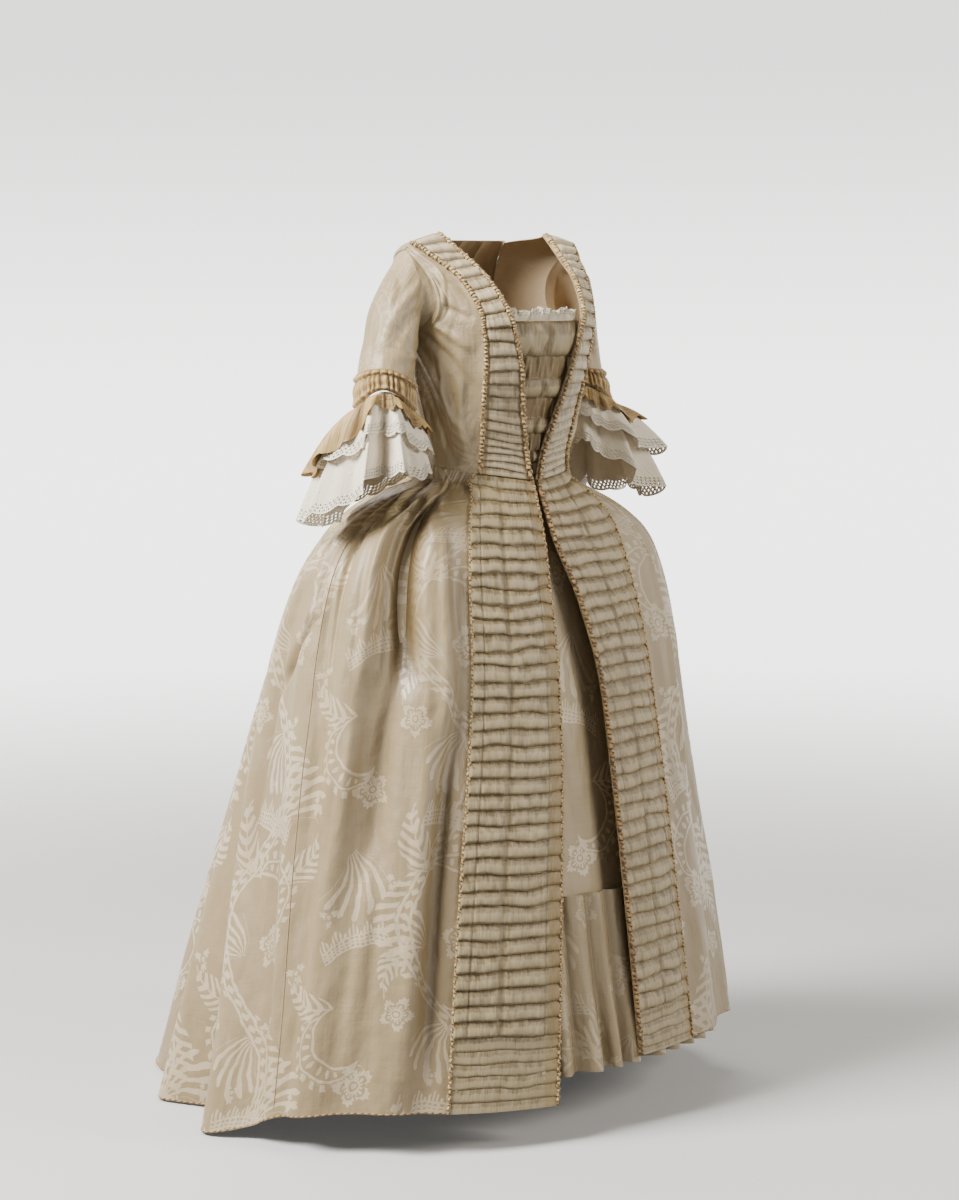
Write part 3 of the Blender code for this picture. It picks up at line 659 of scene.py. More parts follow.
@dataclass(frozen=True)
class Sketch:
    """Draws figures: x goes along one from -1 to 1 and y across it, and every figure is more than 0 inside."""

    x: Field
    y: Field
    bend: float = 0.0

    def polar(self) -> tuple[Field, Field]:
        """Distance from the middle, and the turn round it."""
        return (self.x * self.x + self.y * self.y).math("SQRT"), self.y.math("ARCTAN2", self.x)

    def blossom(self) -> Field:
        """A layered blossom with jagged petals."""
        radius, turn = self.polar()
        petals = (turn * 5.0).cos()
        body = petals * 0.16 + (turn * 27.0).cos() * 0.05 + 0.76 - radius
        ring = abs(radius - petals * 0.07 - 0.50) - 0.045
        veins = ((turn * 15.0).cos() * 0.14 + 0.05).most(0.30 - radius).most(radius - 0.60)
        return body.least(ring).least(veins).least(abs(radius - 0.17) - 0.04)

    def fern(self) -> Field:
        """A fern whose curved fingers stand off its stem."""
        x, bend = self.x, self.bend
        off = abs(self.y - x * x * bend + bend * 0.4)
        envelope = (1.0 - x * x) * (0.46 - x * 0.18) - off
        fingers = ((x - off * off * 1.5 - off * 0.55) * 19.0).cos() * 0.06 + 0.006
        return envelope.least(fingers).most(0.022 - off).least(1.0 - abs(x))

    def fan(self) -> Field:
        """A fan of thin curved strokes that spread from one root."""
        radius, turn = Sketch(self.x + 1.0, self.y).polar()
        turn = turn - radius * (self.bend * 0.45)
        strokes = (turn * 24.0).cos()
        tips = 1.66 - radius + strokes * 0.12 - abs(turn) * 0.45
        return tips.least((strokes - 0.18) * 0.06 * radius).least(0.74 - abs(turn)).least(radius - 0.16)

    def leaf(self) -> Field:
        """A long bowed leaf: outlined, with a dotted midrib and a fringe along its back."""
        radius, turn = self.polar()
        off = radius - 0.62
        half = 0.20 - turn * turn * 0.062
        outline = (half - abs(off)).least(abs(off) - half + 0.050)
        dots = ((turn * 20.0).cos() * 0.05 - 0.006 - abs(abs(off) - 0.012) * 0.5).least(half - abs(off) - 0.09)
        teeth = ((turn * 22.0 + off * 7.0).cos() * 0.03 - 0.006).least(half + 0.17 - off).least(off - half - 0.03)
        return outline.most(dots).most(teeth.least(1.7 - abs(turn)))

    def lace(self) -> Field:
        """A short length of striped lace with a scalloped edge."""
        x = self.x
        bowed = self.y + x * x * 0.22
        rails = 0.028 - abs(abs(abs(bowed) - 0.10) - 0.055)
        net = ((x * 46.0).cos() * 0.05 - 0.012).least(0.155 - abs(bowed))
        drops = ((x * 15.0).cos() * 0.10 + 0.26 - abs(bowed - 0.10)).least(bowed - 0.17).least((x * 60.0).cos() + 0.2)
        return rails.most(net).most(drops * 0.5).least(0.95 - abs(x))

    def sprig(self) -> Field:
        """A small toothed sprig."""
        radius, turn = self.polar()
        body = (turn * 3.0).cos() * 0.40 + (turn * 19.0).cos() * 0.12 + 0.52 - radius
        return body.least(abs(radius - 0.26) - 0.07)


class Motif(NamedTuple):
    """One figure of the damask's repeat: its place and half length in metres, its turn and its bend."""

    draw: Callable[[Sketch], Field]
    x: float
    y: float
    size: float
    turn: float
    bend: float = 0.0


def drawn(figure: Callable[[Sketch], Field], *rows: tuple[float, ...]) -> tuple[Motif, ...]:
    """Motifs that all show one figure."""
    return tuple(Motif(figure, *row) for row in rows)


@dataclass(frozen=True)
class DamaskDrawing:
    """A winding band with a fringe of strokes, among leaves, blossoms, fans, lace and small sprigs."""

    width: float = 0.50
    height: float = 0.62
    scale: float = 0.72
    edge: float = 0.0016
    band_swing: float = 0.085
    band_half: float = 0.016
    fringe: float = 0.052
    wobble: float = 0.012
    motifs: tuple[Motif, ...] = (
        *drawn(Sketch.leaf, (0.33, 0.215, 0.115, 2.6), (0.085, 0.52, 0.105, -0.7)),
        *drawn(Sketch.blossom, (0.3, 0.12, 0.05, 0.3), (0.04, 0.43, 0.046, 1.2), (0.455, 0.585, 0.04, 0.8)),
        *drawn(Sketch.fern, (0.42, 0.33, 0.082, 1.15, 0.4), (0.205, 0.285, 0.07, 2.35, -0.45),
               (0.165, 0.61, 0.072, 0.5, 0.35), (0.47, 0.06, 0.066, -1.05, -0.4)),
        *drawn(Sketch.fan, (0.265, 0.45, 0.092, 1.95, 0.75), (0.385, 0.52, 0.08, -0.55, -0.75),
               (0.03, 0.235, 0.086, -2.2, 0.7), (0.42, 0.15, 0.07, 0.95, -0.6)),
        *drawn(Sketch.lace, (0.33, 0.375, 0.085, 0.25), (0.06, 0.115, 0.08, -0.3)),
        *drawn(Sketch.sprig, (0.205, 0.05, 0.026, 0.2), (0.365, 0.45, 0.024, 0.8), (0.12, 0.165, 0.022, 0.5),
               (0.185, 0.395, 0.024, 1.1), (0.285, 0.57, 0.026, 0.3), (0.48, 0.24, 0.022, 0.9)))

    def band(self, fabric: Fabric, place: Any) -> Field:
        """The winding band, with its eyelets, and strokes that fringe its outer bends.

        Args:
            fabric: The material's nodes.
            place: Drawing coordinates.

        Returns:
            The band.
        """
        x, y = fabric.split(place)
        wave = (y * (FULL_TURN / self.height)).sin()
        across = (x - wave * self.band_swing - 0.12) * (1.0 / self.width)
        off = (across.math("FRACT") - 0.5) * self.width
        size = abs(off)
        rail = (self.band_half + abs((y * 130.0).sin()) * 0.003 - size).least(size - self.band_half * 0.62)
        eyes = ((y * 235.0).cos() * 0.006 + 0.0035 - size).most(-1.0)
        reach = abs(wave) * self.fringe
        outward = off * wave.math("SIGN")
        strokes = ((y * 260.0 + outward * 70.0).cos() - 0.10) * 0.0035
        fringe = strokes.least(outward - self.band_half * 1.25).least(reach + self.band_half - outward)
        return rail.most(eyes).most(fringe).math("MULTIPLY_ADD", 1.0 / self.edge, 0.5, clamp=True)

    def mask(self, fabric: Fabric, place: Any) -> Field:
        """The whole drawing: 1 on its satin figures and 0 on the ground.

        Args:
            fabric: The material's nodes.
            place: Cloth coordinates in metres.

        Returns:
            The drawing.
        """
        place = fabric.vector("MULTIPLY", place, (1.0 / self.scale, 1.0 / self.scale, 0.0))
        sway = fabric.node("ShaderNodeTexNoise", {}, {
            "Vector": place, "Scale": 16.0, "Detail": 2.6}).outputs["Color"]
        sway = fabric.vector("SUBTRACT", sway, (0.5, 0.5, 0.5))
        sway = fabric.vector("MULTIPLY", sway, (self.wobble * 2.0, self.wobble * 2.0, 0.0))
        place = fabric.vector("ADD", place, sway)
        total = self.band(fabric, place)
        share = fabric.vector("MULTIPLY", place, (1.0 / self.width, 1.0 / self.height, 0.0))
        for motif in self.motifs:
            moved = fabric.vector("ADD", share, (0.5 - motif.x / self.width, 0.5 - motif.y / self.height, 0.0))
            scale = (self.width / motif.size, self.height / motif.size)
            c, s = math.cos(-motif.turn), math.sin(-motif.turn)
            middle = (-0.5 * (c * scale[0] - s * scale[1]), -0.5 * (s * scale[0] + c * scale[1]), 0.0)
            local = fabric.node("ShaderNodeMapping", {"vector_type": "POINT"}, {
                "Vector": fabric.vector("FRACTION", moved), "Location": middle,
                "Rotation": (0.0, 0.0, -motif.turn), "Scale": (*scale, 1.0)}).outputs[0]
            figure = motif.draw(Sketch(*fabric.split(local), motif.bend))
            total = total.most(figure.math("MULTIPLY_ADD", motif.size / self.edge, 0.5, clamp=True))
        return total


@dataclass(frozen=True)
class DamaskFinish:
    """Tone-on-tone silk damask, with the soft crumple of worn silk, a painted sheen in patches and painted shade
    where marked.
    """

    name: str = "damask"
    satin: Colour = (0.62, 0.51, 0.345)
    ground: Colour = (0.325, 0.245, 0.128)
    # shade: the colour of the random darker tone, and of the painted shade and the darkening towards the bottom.
    shade: Colour = (0.125, 0.080, 0.026)
    # sheen: a painted sheen, laid over random patches.
    sheen: Colour = (0.66, 0.57, 0.46)
    contrast: float = 1.0
    crumple: float = 0.0055
    # How much darker the colour gets towards the bottom.
    aged: float = 0.16
    drawing: DamaskDrawing = field(default_factory=DamaskDrawing)

    def weave(self) -> bpy.types.Material:
        """Make the material."""
        fabric = Fabric(self.name)
        place = fabric.uv()
        figure = self.drawing.mask(fabric, place) * self.contrast
        slub = fabric.noise(place, (14.0, 420.0), 1.0)
        streak = fabric.noise(place, (55.0, 6.0), 4.0)
        stain_and_sheen = fabric.noise(place, (5.1, 3.9), 4.0)
        low = fabric.split(place)[1].ramp(-0.10, -0.60)
        # Painted light: the figures show less towards the top, as the light brings them out less there.
        figure = figure * (0.62 + stain_and_sheen * 0.62) * (0.52 + low * 0.50)
        colour = fabric.mix(figure, self.ground, self.satin)
        worn = fabric.mix((stain_and_sheen - 0.42) * 0.75 + (slub - 0.5) * 0.24 + (streak - 0.5) * 0.30, colour, self.shade)
        # Painted sheen: the sheen colour over random patches.
        worn = fabric.mix((0.40 - stain_and_sheen) * 1.6 + (0.44 - streak) * 0.6, worn, self.sheen)
        # The colour gets darker towards the bottom.
        worn = fabric.mix(low * self.aged, worn, self.shade)
        # Painted shade: the shade colour where the mesh's shade mark lies, in hollows, behind pleats and along seams.
        worn = fabric.mix(fabric.mark("shade") * 0.92, worn, self.shade)
        soft = fabric.noise(place, (9.0, 4.6), 3.0)
        crinkle = fabric.noise(place, (48.0, 30.0), 3.0)
        bumps = fabric.relief(soft + crinkle * 0.10 + streak * 0.12 + slub * 0.014, self.crumple * 3.0)
        return fabric.finish(
            {"Sheen Weight": 0.12, "Sheen Roughness": 0.35, "Specular IOR Level": 0.60},
            {"Base Color": worn, "Roughness": 0.52 - figure * 0.14, "Normal": bumps})


@dataclass(frozen=True)
class GatheredFinish:
    """Silk gathered in rows of puffs, with painted shade at each row's stitching and in its sunken gathers, and tan
    along its pinked edges.
    """

    name: str
    crown: Colour
    # The painted shade in the grooves and along each row's stitching.
    groove: Colour
    border: Colour
    roughness: float = 0.52
    gather: float = 0.0012
    rowed: bool = True
    sheen: float = 0.12

    def weave(self) -> bpy.types.Material:
        """Make the material."""
        fabric = Fabric(self.name)
        place = fabric.uv()
        full = fabric.mark("full")
        blotch = fabric.noise(place, (9.0, 7.0), 2.0)
        if self.rowed:
            row = fabric.mark("row")
            part = row.math("FRACT")
            place = fabric.vector("ADD", place, fabric.vector("MULTIPLY", (0.137, 0.0, 0.0), row.math("FLOOR")))
            # Painted shade: a dark line along each row's stitching, and the first third of each row darker, as under
            # the puff above.
            stitched = part.least(1.0 - part).ramp(0.004, 0.040)
            low = (part + (fabric.noise(place, (120.0, 0.2), 1.0) - 0.5) * 0.30).ramp(0.30, 0.44)
            full = (full * (low * 0.42 + 0.58)) * (stitched * 0.62 + 0.38)
        pleats = fabric.noise(place, (300.0, 26.0), 2.0)
        patches = fabric.noise(place, (80.0, 34.0), 1.0)
        # Painted light and shade: fuller silk takes the crown colour and sunken silk the groove's painted shade, with
        # noise for the fine gathers and crumpled patches.
        lit = (full * 0.90 + (pleats - 0.5) * 0.85 + (patches - 0.5) * 0.95 - 0.02).ramp(0.05, 0.95)
        colour = fabric.mix(lit, self.groove, self.crown)
        colour = fabric.mix((blotch - 0.4) * 0.45, colour, self.border)
        colour = fabric.mix(fabric.mark("border"), colour, self.border)
        bumps = fabric.relief(pleats + patches * 0.6, self.gather)
        return fabric.finish(
            {"Sheen Weight": self.sheen, "Sheen Roughness": 0.4, "Specular IOR Level": 0.45},
            {"Base Color": colour, "Roughness": self.roughness + (pleats - 0.5) * 0.15, "Normal": bumps})


@dataclass(frozen=True)
class LawnFinish:
    """Fine white linen with an embroidered, pierced edge."""

    name: str
    colour: Colour
    thread: Colour
    pierced: float = 0.018
    pitch: float = 0.0075

    def weave(self) -> bpy.types.Material:
        """Make the material."""
        fabric = Fabric(self.name)
        place = fabric.uv()
        x, y = fabric.split(place)
        hem = fabric.mark("hem")
        round_turn = FULL_TURN / self.pitch
        cells = (x * round_turn).cos() * (hem * (0.8 * round_turn)).cos()
        worked = hem.ramp(self.pierced, self.pierced * 0.75)
        holes = worked * (cells - 0.15).ramp(0.30, 0.42) * hem.ramp(0.0022, 0.0040)
        pulls = fabric.noise(place, (240.0, 9.0), 2.0)
        sprig = ((x * 190.0).cos() * (y * 190.0).cos()).ramp(0.90, 0.97) * (1.0 - worked)
        lit = (worked * 0.45 + sprig * 0.8 + (pulls - 0.5) * 0.5).ramp(0.0, 1.0)
        colour = fabric.mix(lit, self.colour, self.thread)
        bumps = fabric.relief(pulls + worked * abs(cells) * 0.8 + sprig * 0.6, 0.0008)
        return fabric.finish(
            {"Sheen Weight": 0.55, "Sheen Roughness": 0.5, "Specular IOR Level": 0.25},
            {"Base Color": colour, "Roughness": 0.78 - sprig * 0.1, "Normal": bumps, "Alpha": 1.0 - holes})


@dataclass(frozen=True)
class GimpFinish:
    """Twisted silk cord and floss, tan with brown turns."""

    name: str = "gimp"
    light: Colour = (0.46, 0.29, 0.11)
    dark: Colour = (0.10, 0.05, 0.015)
    twist: float = 0.0110

    def weave(self) -> bpy.types.Material:
        """Make the material."""
        fabric = Fabric(self.name)
        place = fabric.uv()
        x, y = fabric.split(place)
        turns = (y * (FULL_TURN / self.twist) + x * 300.0).sin() * 0.5 + 0.5
        worn = fabric.noise(place, (300.0, 120.0), 2.0)
        colour = fabric.mix((turns + (worn - 0.5) * 1.2).ramp(0.12, 0.62), self.dark, self.light)
        return fabric.finish({"Sheen Weight": 0.2, "Specular IOR Level": 0.35},
                             {"Base Color": colour, "Roughness": 0.62 + worn * 0.1,
                              "Normal": fabric.relief(turns, 0.0006)})


@dataclass(frozen=True)
class LiningFinish:
    """Plain tan lining, seen inside the gown."""

    name: str = "lining"
    colour: Colour = (0.46, 0.35, 0.22)
    dark: Colour = (0.34, 0.25, 0.15)

    def weave(self) -> bpy.types.Material:
        """Make the material."""
        fabric = Fabric(self.name)
        place = fabric.uv()
        weft = fabric.noise(place, (60.0, 700.0), 2.0)
        soft = fabric.noise(place, (8.0, 4.0), 3.0)
        return fabric.finish({"Specular IOR Level": 0.3}, {
            "Base Color": fabric.mix((weft * 0.5 + soft * 0.6).ramp(0.2, 0.9), self.colour, self.dark),
            "Roughness": 0.7 + weft * 0.1, "Normal": fabric.relief(soft, 0.006)})


@dataclass(frozen=True)
class Cut:
    """How finely a sheet is made, and how its cloth lies on it.

    Attributes:
        columns: Its steps across.
        rows: Its steps along.
        closed: Whether it closes into a tube.
        rise: 1 where its rows go up the cloth, and -1 where they go down.
        origin: Where the cloth's coordinates start, in metres.
        v: The share of its shape that it covers.
        stations: The places of its rows in shares of its length, where they aren't even.
    """

    columns: int
    rows: int
    closed: bool = False
    rise: float = 1.0
    origin: tuple[float, float] = (0.0, 0.0)
    v: tuple[float, float] = (0.0, 1.0)
    stations: tuple[float, ...] | None = None


class Held(Enum):
    """How a sheet of cloth is held."""

    DRAPED = "draped"
    HUNG = "hung"
    GATHERED = "gathered"
    STRETCHED = "stretched"


@dataclass(frozen=True)
class Hanging:
    """A sheet's slot, how it is held and what it rests on."""

    slot: str
    held: Held
    rests_on: tuple[str, ...] = ()


@dataclass(frozen=True)
class Cord:
    """A cord's slot, its radius, its number of sections and how far its middle stands off a sheet.

    The gathers are how many times it is drawn in, and the span is the share of the sheet's length that it covers.
    """

    slot: str
    radius: float
    rows: int
    rise: float
    cloth: str = "gimp"
    gathers: int = 0
    span: tuple[float, float] = (0.0, 1.0)


@contextmanager
def opened(data: bpy.types.Mesh) -> Iterator[bmesh.types.BMesh]:
    """Open a mesh to work on it, and write it back afterwards.

    Args:
        data: The mesh.

    Yields:
        The mesh's edges and faces to work on.
    """
    work = bmesh.new()
    work.from_mesh(data)
    yield work
    work.to_mesh(data)
    work.free()


@dataclass
class Workroom:
    """Makes pieces of cloth and cord and hands them to the frame.

    Attributes:
        cloths: The woven materials, by name.
        made: The pieces made so far.
    """

    cloths: dict[str, bpy.types.Material]
    made: list[bpy.types.Object] = field(default_factory=list)

    def _lay_out(self, name: str, shape: Sheet, cut: Cut, sign: float,
                 marks: Marks) -> tuple[bpy.types.Mesh, Array]:
        """Lay a grid on a shape, with cloth coordinates in metres.

        Args:
            name: The mesh's name.
            shape: The sheet's points.
            cut: How finely the sheet is made.
            sign: 1 or -1, for the side that is out.
            marks: Numbers to hold at the mesh's points.

        Returns:
            The mesh, and its points in rows and columns.
        """
        grid = bmesh.new()
        bmesh.ops.create_grid(grid, x_segments=cut.columns, y_segments=cut.rows, size=0.5)
        data = bpy.data.meshes.new(name)
        grid.to_mesh(data)
        grid.free()
        flat = np.empty(len(data.vertices) * 3)
        data.vertices.foreach_get("co", flat)
        i = np.rint((flat[0::3] + 0.5) * cut.columns).astype(int)
        j = np.rint((flat[1::3] + 0.5) * cut.rows).astype(int)
        u = i / cut.columns
        share = j / cut.rows if cut.stations is None else np.array(cut.stations)[j]
        v = cut.v[0] + (cut.v[1] - cut.v[0]) * share
        points = shape(u, v)
        data.vertices.foreach_set("co", points.ravel())
        rows = np.empty((cut.rows + 1, cut.columns + 1, 3))
        rows[j, i] = points
        middle = cut.columns // 2
        out = np.zeros(rows.shape[:2])
        out[:, 1:] = np.cumsum(np.linalg.norm(np.diff(rows, axis=1), axis=2), axis=1)
        out = out - out[:, middle:middle + 1]
        down = run_length(rows[:, middle])
        uv = np.stack((out[j, i] + cut.origin[0], cut.rise * down[j] + cut.origin[1]), axis=1)
        corner = np.empty(len(data.loops), dtype=np.int32)
        data.loops.foreach_get("vertex_index", corner)
        data.uv_layers.new(name="cloth").data.foreach_set("uv", uv[corner].ravel())
        for mark, values in marks.items():
            data.attributes.new(mark, "FLOAT", "POINT").data.foreach_set("value", values(u, v))
        if sign < 0:
            data.flip_normals()
        if cut.closed:
            with opened(data) as tube:
                bmesh.ops.remove_doubles(tube, verts=tube.verts, dist=SAME)
        return data, rows

    def _show(self, name: str, data: bpy.types.Mesh) -> bpy.types.Object:
        """Put a mesh into the scene as a piece of the gown.

        Args:
            name: The piece's name.
            data: Its mesh.

        Returns:
            The piece.
        """
        data.shade_smooth()
        piece = bpy.data.objects.new(name, data)
        bpy.context.scene.collection.objects.link(piece)
        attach(piece, "root")
        self.made.append(piece)
        LOG.info("%s: %d faces", name, len(data.polygons))
        return piece

    def sheet(self, name: str, shape: Sheet, cut: Cut, cloth: str, sign: float,
              thick: float = SILK, lining: str | None = None, marks: Marks | None = None) -> None:
        """Make a sheet of cloth with its thickness and its lining, in place of a solid.

        Args:
            name: The solid's name.
            shape: The sheet's outer face.
            cut: How finely it is made.
            cloth: The material of its outer face.
            sign: 1 or -1, for the side that is out.
            thick: Its thickness, or 0 for a gathered skin that lies on another piece.
            lining: The material of its inner face.
            marks: Numbers to hold at its points.
        """
        data, rows = self._lay_out(name, shape, cut, sign, marks or {})
        for material in (cloth, lining or cloth):
            data.materials.append(self.cloths[material])
        piece = self._show(f"{name}_cloth", data)
        if thick:
            self._thicken(piece, thick, bool(lining))
        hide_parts(name)

    def _thicken(self, piece: bpy.types.Object, thick: float, lined: bool) -> None:
        """Give a sheet its wall, with crisp rims.

        Args:
            piece: The sheet.
            thick: The wall's thickness.
            lined: Whether its inner face has the second material.
        """
        with opened(piece.data) as shell:
            for line in shell.edges:
                line.smooth = not line.is_boundary
        wall = piece.modifiers.new("wall", "SOLIDIFY")
        wall.thickness = thick
        wall.offset = -1.0
        wall.use_even_offset = False
        wall.material_offset = int(lined)

    def sew(self, name: str, base: Sheet, line: Callable[[Array], Array], sign: float, cord: Cord) -> None:
        """Sew a cord onto a sheet along a line.

        Args:
            name: The piece's name.
            base: The sheet that it is sewn to.
            line: The cord's place across the sheet, at each place along it.
            sign: 1 or -1, for the side that is out.
            cord: The cord.
        """
        first, last = cord.span

        def shape(u: Array, v: Array) -> Array:
            """The cord's face.

            Args:
                u: Place once round it.
                v: Place along the sheet.

            Returns:
                The points.
            """
            run = unit(base(line(v + TINY), v + TINY) - base(line(v - TINY), v - TINY))
            normal = normals(base, line(v), v) * sign
            part = (v - first) / (last - first)
            taper = np.sqrt(np.clip(np.minimum(part, 1.0 - part) * cord.rows / 2.0, 0.04, 1.0))
            drawn_in = 0.24 * np.cos(part * FULL_TURN * cord.gathers) + 0.16 * wander(part, 0.011, 7.0)
            reach = cord.radius * taper * (1.0 + drawn_in if cord.gathers else 1.0)
            up, flank = ((reach * way)[..., None] for way in (np.cos(u * FULL_TURN), np.sin(u * FULL_TURN)))
            return base(line(v), v) + normal * (cord.rise + cord.radius + up) + np.cross(run, normal) * flank

        data, _ = self._lay_out(name, shape, Cut(CORD_SIDES, cord.rows, closed=True, v=cord.span), 1.0, {})
        with opened(data) as tube:
            rims = [line for line in tube.edges if line.is_boundary]
            bmesh.ops.holes_fill(tube, edges=rims, sides=CORD_SIDES)
            bmesh.ops.recalc_face_normals(tube, faces=tube.faces)
        data.materials.append(self.cloths[cord.cloth])
        self._show(name, data)

    def edge(self, name: str, face: Sheet, place: float, bed: float, sign: float, cord: Cord) -> None:
        """Sew a cord across a sheet.

        Args:
            name: The piece's name.
            face: The sheet.
            place: How far along the sheet the cord lies, 0 to 1.
            bed: The share of the sheet's length that its bed takes up.
            sign: 1 or -1, for the side that is out.
            cord: The cord.
        """
        self.sew(name, lambda u, v: face(v, place - (u - 0.5) * bed), lambda v: np.full_like(v, 0.5), sign, cord)


def straight(pairs: Sequence[tuple[float, float]], at: Array) -> Array:
    """Read pairs of a place and a value, with straight lines between them."""
    return np.interp(at, [pair[0] for pair in pairs], [pair[1] for pair in pairs])


def arcs(shape: Sheet, at: float) -> Callable[[Array], Array]:
    """Length along a sheet from its first row, as a function of its v.

    Args:
        shape: The sheet.
        at: The column to measure, in the sheet's u.

    Returns:
        The function.
    """
    places = np.linspace(0.0, 1.0, 401)
    total = run_length(shape(np.full_like(places, at), places))
    return lambda v: np.interp(v, places, total)


class Pinch(NamedTuple):
    """A line of stitching along a strip: its place and spread in shares of the width, and its pull."""

    place: float
    spread: float
    pull: float


@dataclass(frozen=True)
class PuffRows:
    """Rows of silk puffs that sag over the lines of stitching between them.

    Attributes:
        pitches: (length along, row height) from the strip's first row on.
        height: How far a puff stands out.
        width: The strip's real width, for the gathers.
        pinches: Lines of stitching along the strip.
        selvedges: Width of the flatter, duller bands along its two edges, in shares of its width.
        upward: Whether the strip's length is counted from its lower end.
        ends: Length along at which the puffs give way to flat tucks, or None.
        seed: Picks the unevenness.
        swell: (length along, share of the height) where the puffs are flatter.
        samples: Where a puff's section is sampled, from its top to its sagging foot.
        section: (share of the row, share of the puff's arch there).
        blend: Width over which a flat band meets the puffs, in shares of the strip's width.
    """

    pitches: tuple[tuple[float, float], ...]
    height: float
    width: float
    pinches: tuple[Pinch, ...] = ()
    selvedges: tuple[float, float] = (0.0, 0.0)
    upward: bool = False
    ends: float | None = None
    seed: float = 1.0
    swell: tuple[tuple[float, float], ...] = ((0.0, 1.0),)
    samples: tuple[float, ...] = (0.0, 0.05, 0.16, 0.34, 0.56, 0.78, 0.91, 0.97)
    section: tuple[tuple[float, float], ...] = ((0.0, 0.0), (0.05, 0.12), (0.45, 0.38), (0.86, 0.5), (0.97, 0.9),
                                                (1.0, 1.0))
    blend: float = 0.03

    def rows_at(self, s: Array) -> Array:
        """How many rows lie before a place.

        Args:
            s: Length along the strip.

        Returns:
            The number, below 0 where they are counted upwards.
        """
        places = np.linspace(0.0, STRIP_END, 1601)
        rate = 1.0 / straight(self.pitches, places)
        count = np.concatenate(([0.0], np.cumsum(0.5 * (rate[1:] + rate[:-1]) * np.diff(places))))
        return np.interp(s, places, count) * (-1.0 if self.upward else 1.0)

    def stations(self, length: Callable[[Array], Array]) -> tuple[float, ...]:
        """Places along the strip at which every puff is sampled alike.

        Args:
            length: Length along, at a place along.

        Returns:
            The places, 0 to 1.
        """
        places = np.linspace(0.0, 1.0, 4001)
        counts = np.abs(self.rows_at(length(places)))
        steps = [1.0 - t for t in self.samples] if self.upward else list(self.samples)
        wanted = sorted({row + t for row in range(int(counts[-1]) + 1) for t in steps if 0.0 < row + t < counts[-1]})
        return tuple(float(x) for x in np.interp([0.0, *wanted, counts[-1]], counts, places))

    def _flat(self, across: Array) -> Array:
        """Where the flat bands along the edges are.

        Args:
            across: Place across the strip, 0 to 1.

        Returns:
            1 inside the bands.
        """
        first, last = self.selvedges
        near = 1.0 - step_up(across, first - self.blend, first) if first else 0.0 * across
        far = step_up(across, 1.0 - last, 1.0 - last + self.blend) if last else 0.0 * across
        return np.maximum(near, far)

    def full(self, across: Array, s: Array) -> Array:
        """How full the silk is, without the rows' own section.

        Args:
            across: Place across the strip, 0 to 1.
            s: Length along it.

        Returns:
            The fullness, about 0 to 1.
        """
        row = np.floor(self.rows_at(s) + SAME)
        size = 0.78 + 0.22 * np.mod(np.sin(row * 91.7 + self.seed) * 4375.85, 1.0)
        full = size * (1.0 + 0.10 * ripple(across * self.width + row * 0.7, 0.0 * s, 0.017, 0.05, self.seed))
        for pinch in self.pinches:
            full = full * (1.0 - pinch.pull * bump(across - pinch.place, pinch.spread))
        full = full * (1.0 - 0.45 * self._flat(across))
        return full + (0.95 - full) * self._tucked(s)

    def _tucked(self, s: Array) -> Array:
        """Where the puffs have given way to flat tucks: 1 past that length along."""
        return 0.0 * s if self.ends is None else step_up(s, self.ends - 0.004, self.ends + 0.004)

    def lift(self, across: Array, s: Array) -> Array:
        """How far the silk stands off the cloth under it.

        Args:
            across: Place across the strip, 0 to 1.
            s: Length along it.

        Returns:
            The distance.
        """
        row = np.floor(self.rows_at(s) + SAME)
        section = np.sin(straight(self.section, self.rows_at(s) - row) * math.pi)
        gathers = ripple(across * self.width + row * 0.31, s, 0.0046, 0.05, self.seed + 5.0)
        share = straight(self.swell, s) - 0.72 * self._tucked(s)
        height = self.height * share * section ** 0.8 * self.full(across, s)
        return 0.0006 + (height + 0.0009 * (gathers + 1.0) * section * share) * rimmed(across, 0.02)

    def marks(self, length: Callable[[Array], Array], edge: float) -> Marks:
        """The numbers that the silk's finish reads: its row, its fullness and its edges.

        Args:
            length: Length along, at a place along.
            edge: Width of the frayed edge, in shares of the strip's width.

        Returns:
            The numbers, by name.
        """
        return {"row": lambda u, v: self.rows_at(length(v)) + 64.0,
                "full": lambda u, v: self.full(u, length(v)),
                "border": lambda u, v: np.maximum(0.55 * self._flat(u), 0.8 * (1.0 - inside(u, edge, edge)))}

    def laid(self, base: Sheet, sign: float, length: Callable[[Array], Array]) -> Sheet:
        """The strip's own face, laid on a sheet with its rows a little uneven.

        Args:
            base: The sheet under it.
            sign: 1 or -1, for the side that is out.
            length: Length along, at a place along.

        Returns:
            The strip.
        """
        def face(u: Array, v: Array) -> Array:
            """The strip's own face.

            Args:
                u: Place across the strip.
                v: Place along it.

            Returns:
                The points.
            """
            s = length(v)
            sway = 0.0030 * ripple(u * self.width, s, 0.040, 0.030, self.seed)
            sway = sway + 0.0010 * wander(u * self.width + 0.13 * np.floor(self.rows_at(s)), 0.012, self.seed + 3.0)
            moved = v + sway * rimmed(v, 0.03) / float(length(1.0))
            high = self.lift(u, s)
            return lifted(base, sign, lambda a, b: high)(u, moved)
        return face


def scallops(offset: float, swing: float, pitch: float, width: float,
             length: Callable[[Array], Array]) -> Callable[[Array], Array]:
    """A scalloped line along a strip.

    Args:
        offset: The line's middle, in shares of the strip's width.
        swing: How far it swings to each side, in metres.
        pitch: Length of one scallop.
        width: The strip's real width.
        length: Length along, at a place along.

    Returns:
        The line's place across, as a function of the place along.
    """
    def line(v: Array) -> Array:
        """The line's place across."""
        s = length(v)
        return offset + swing / width * (2.0 * np.abs(np.sin(math.pi * s / pitch)) - 1.0)
    return line


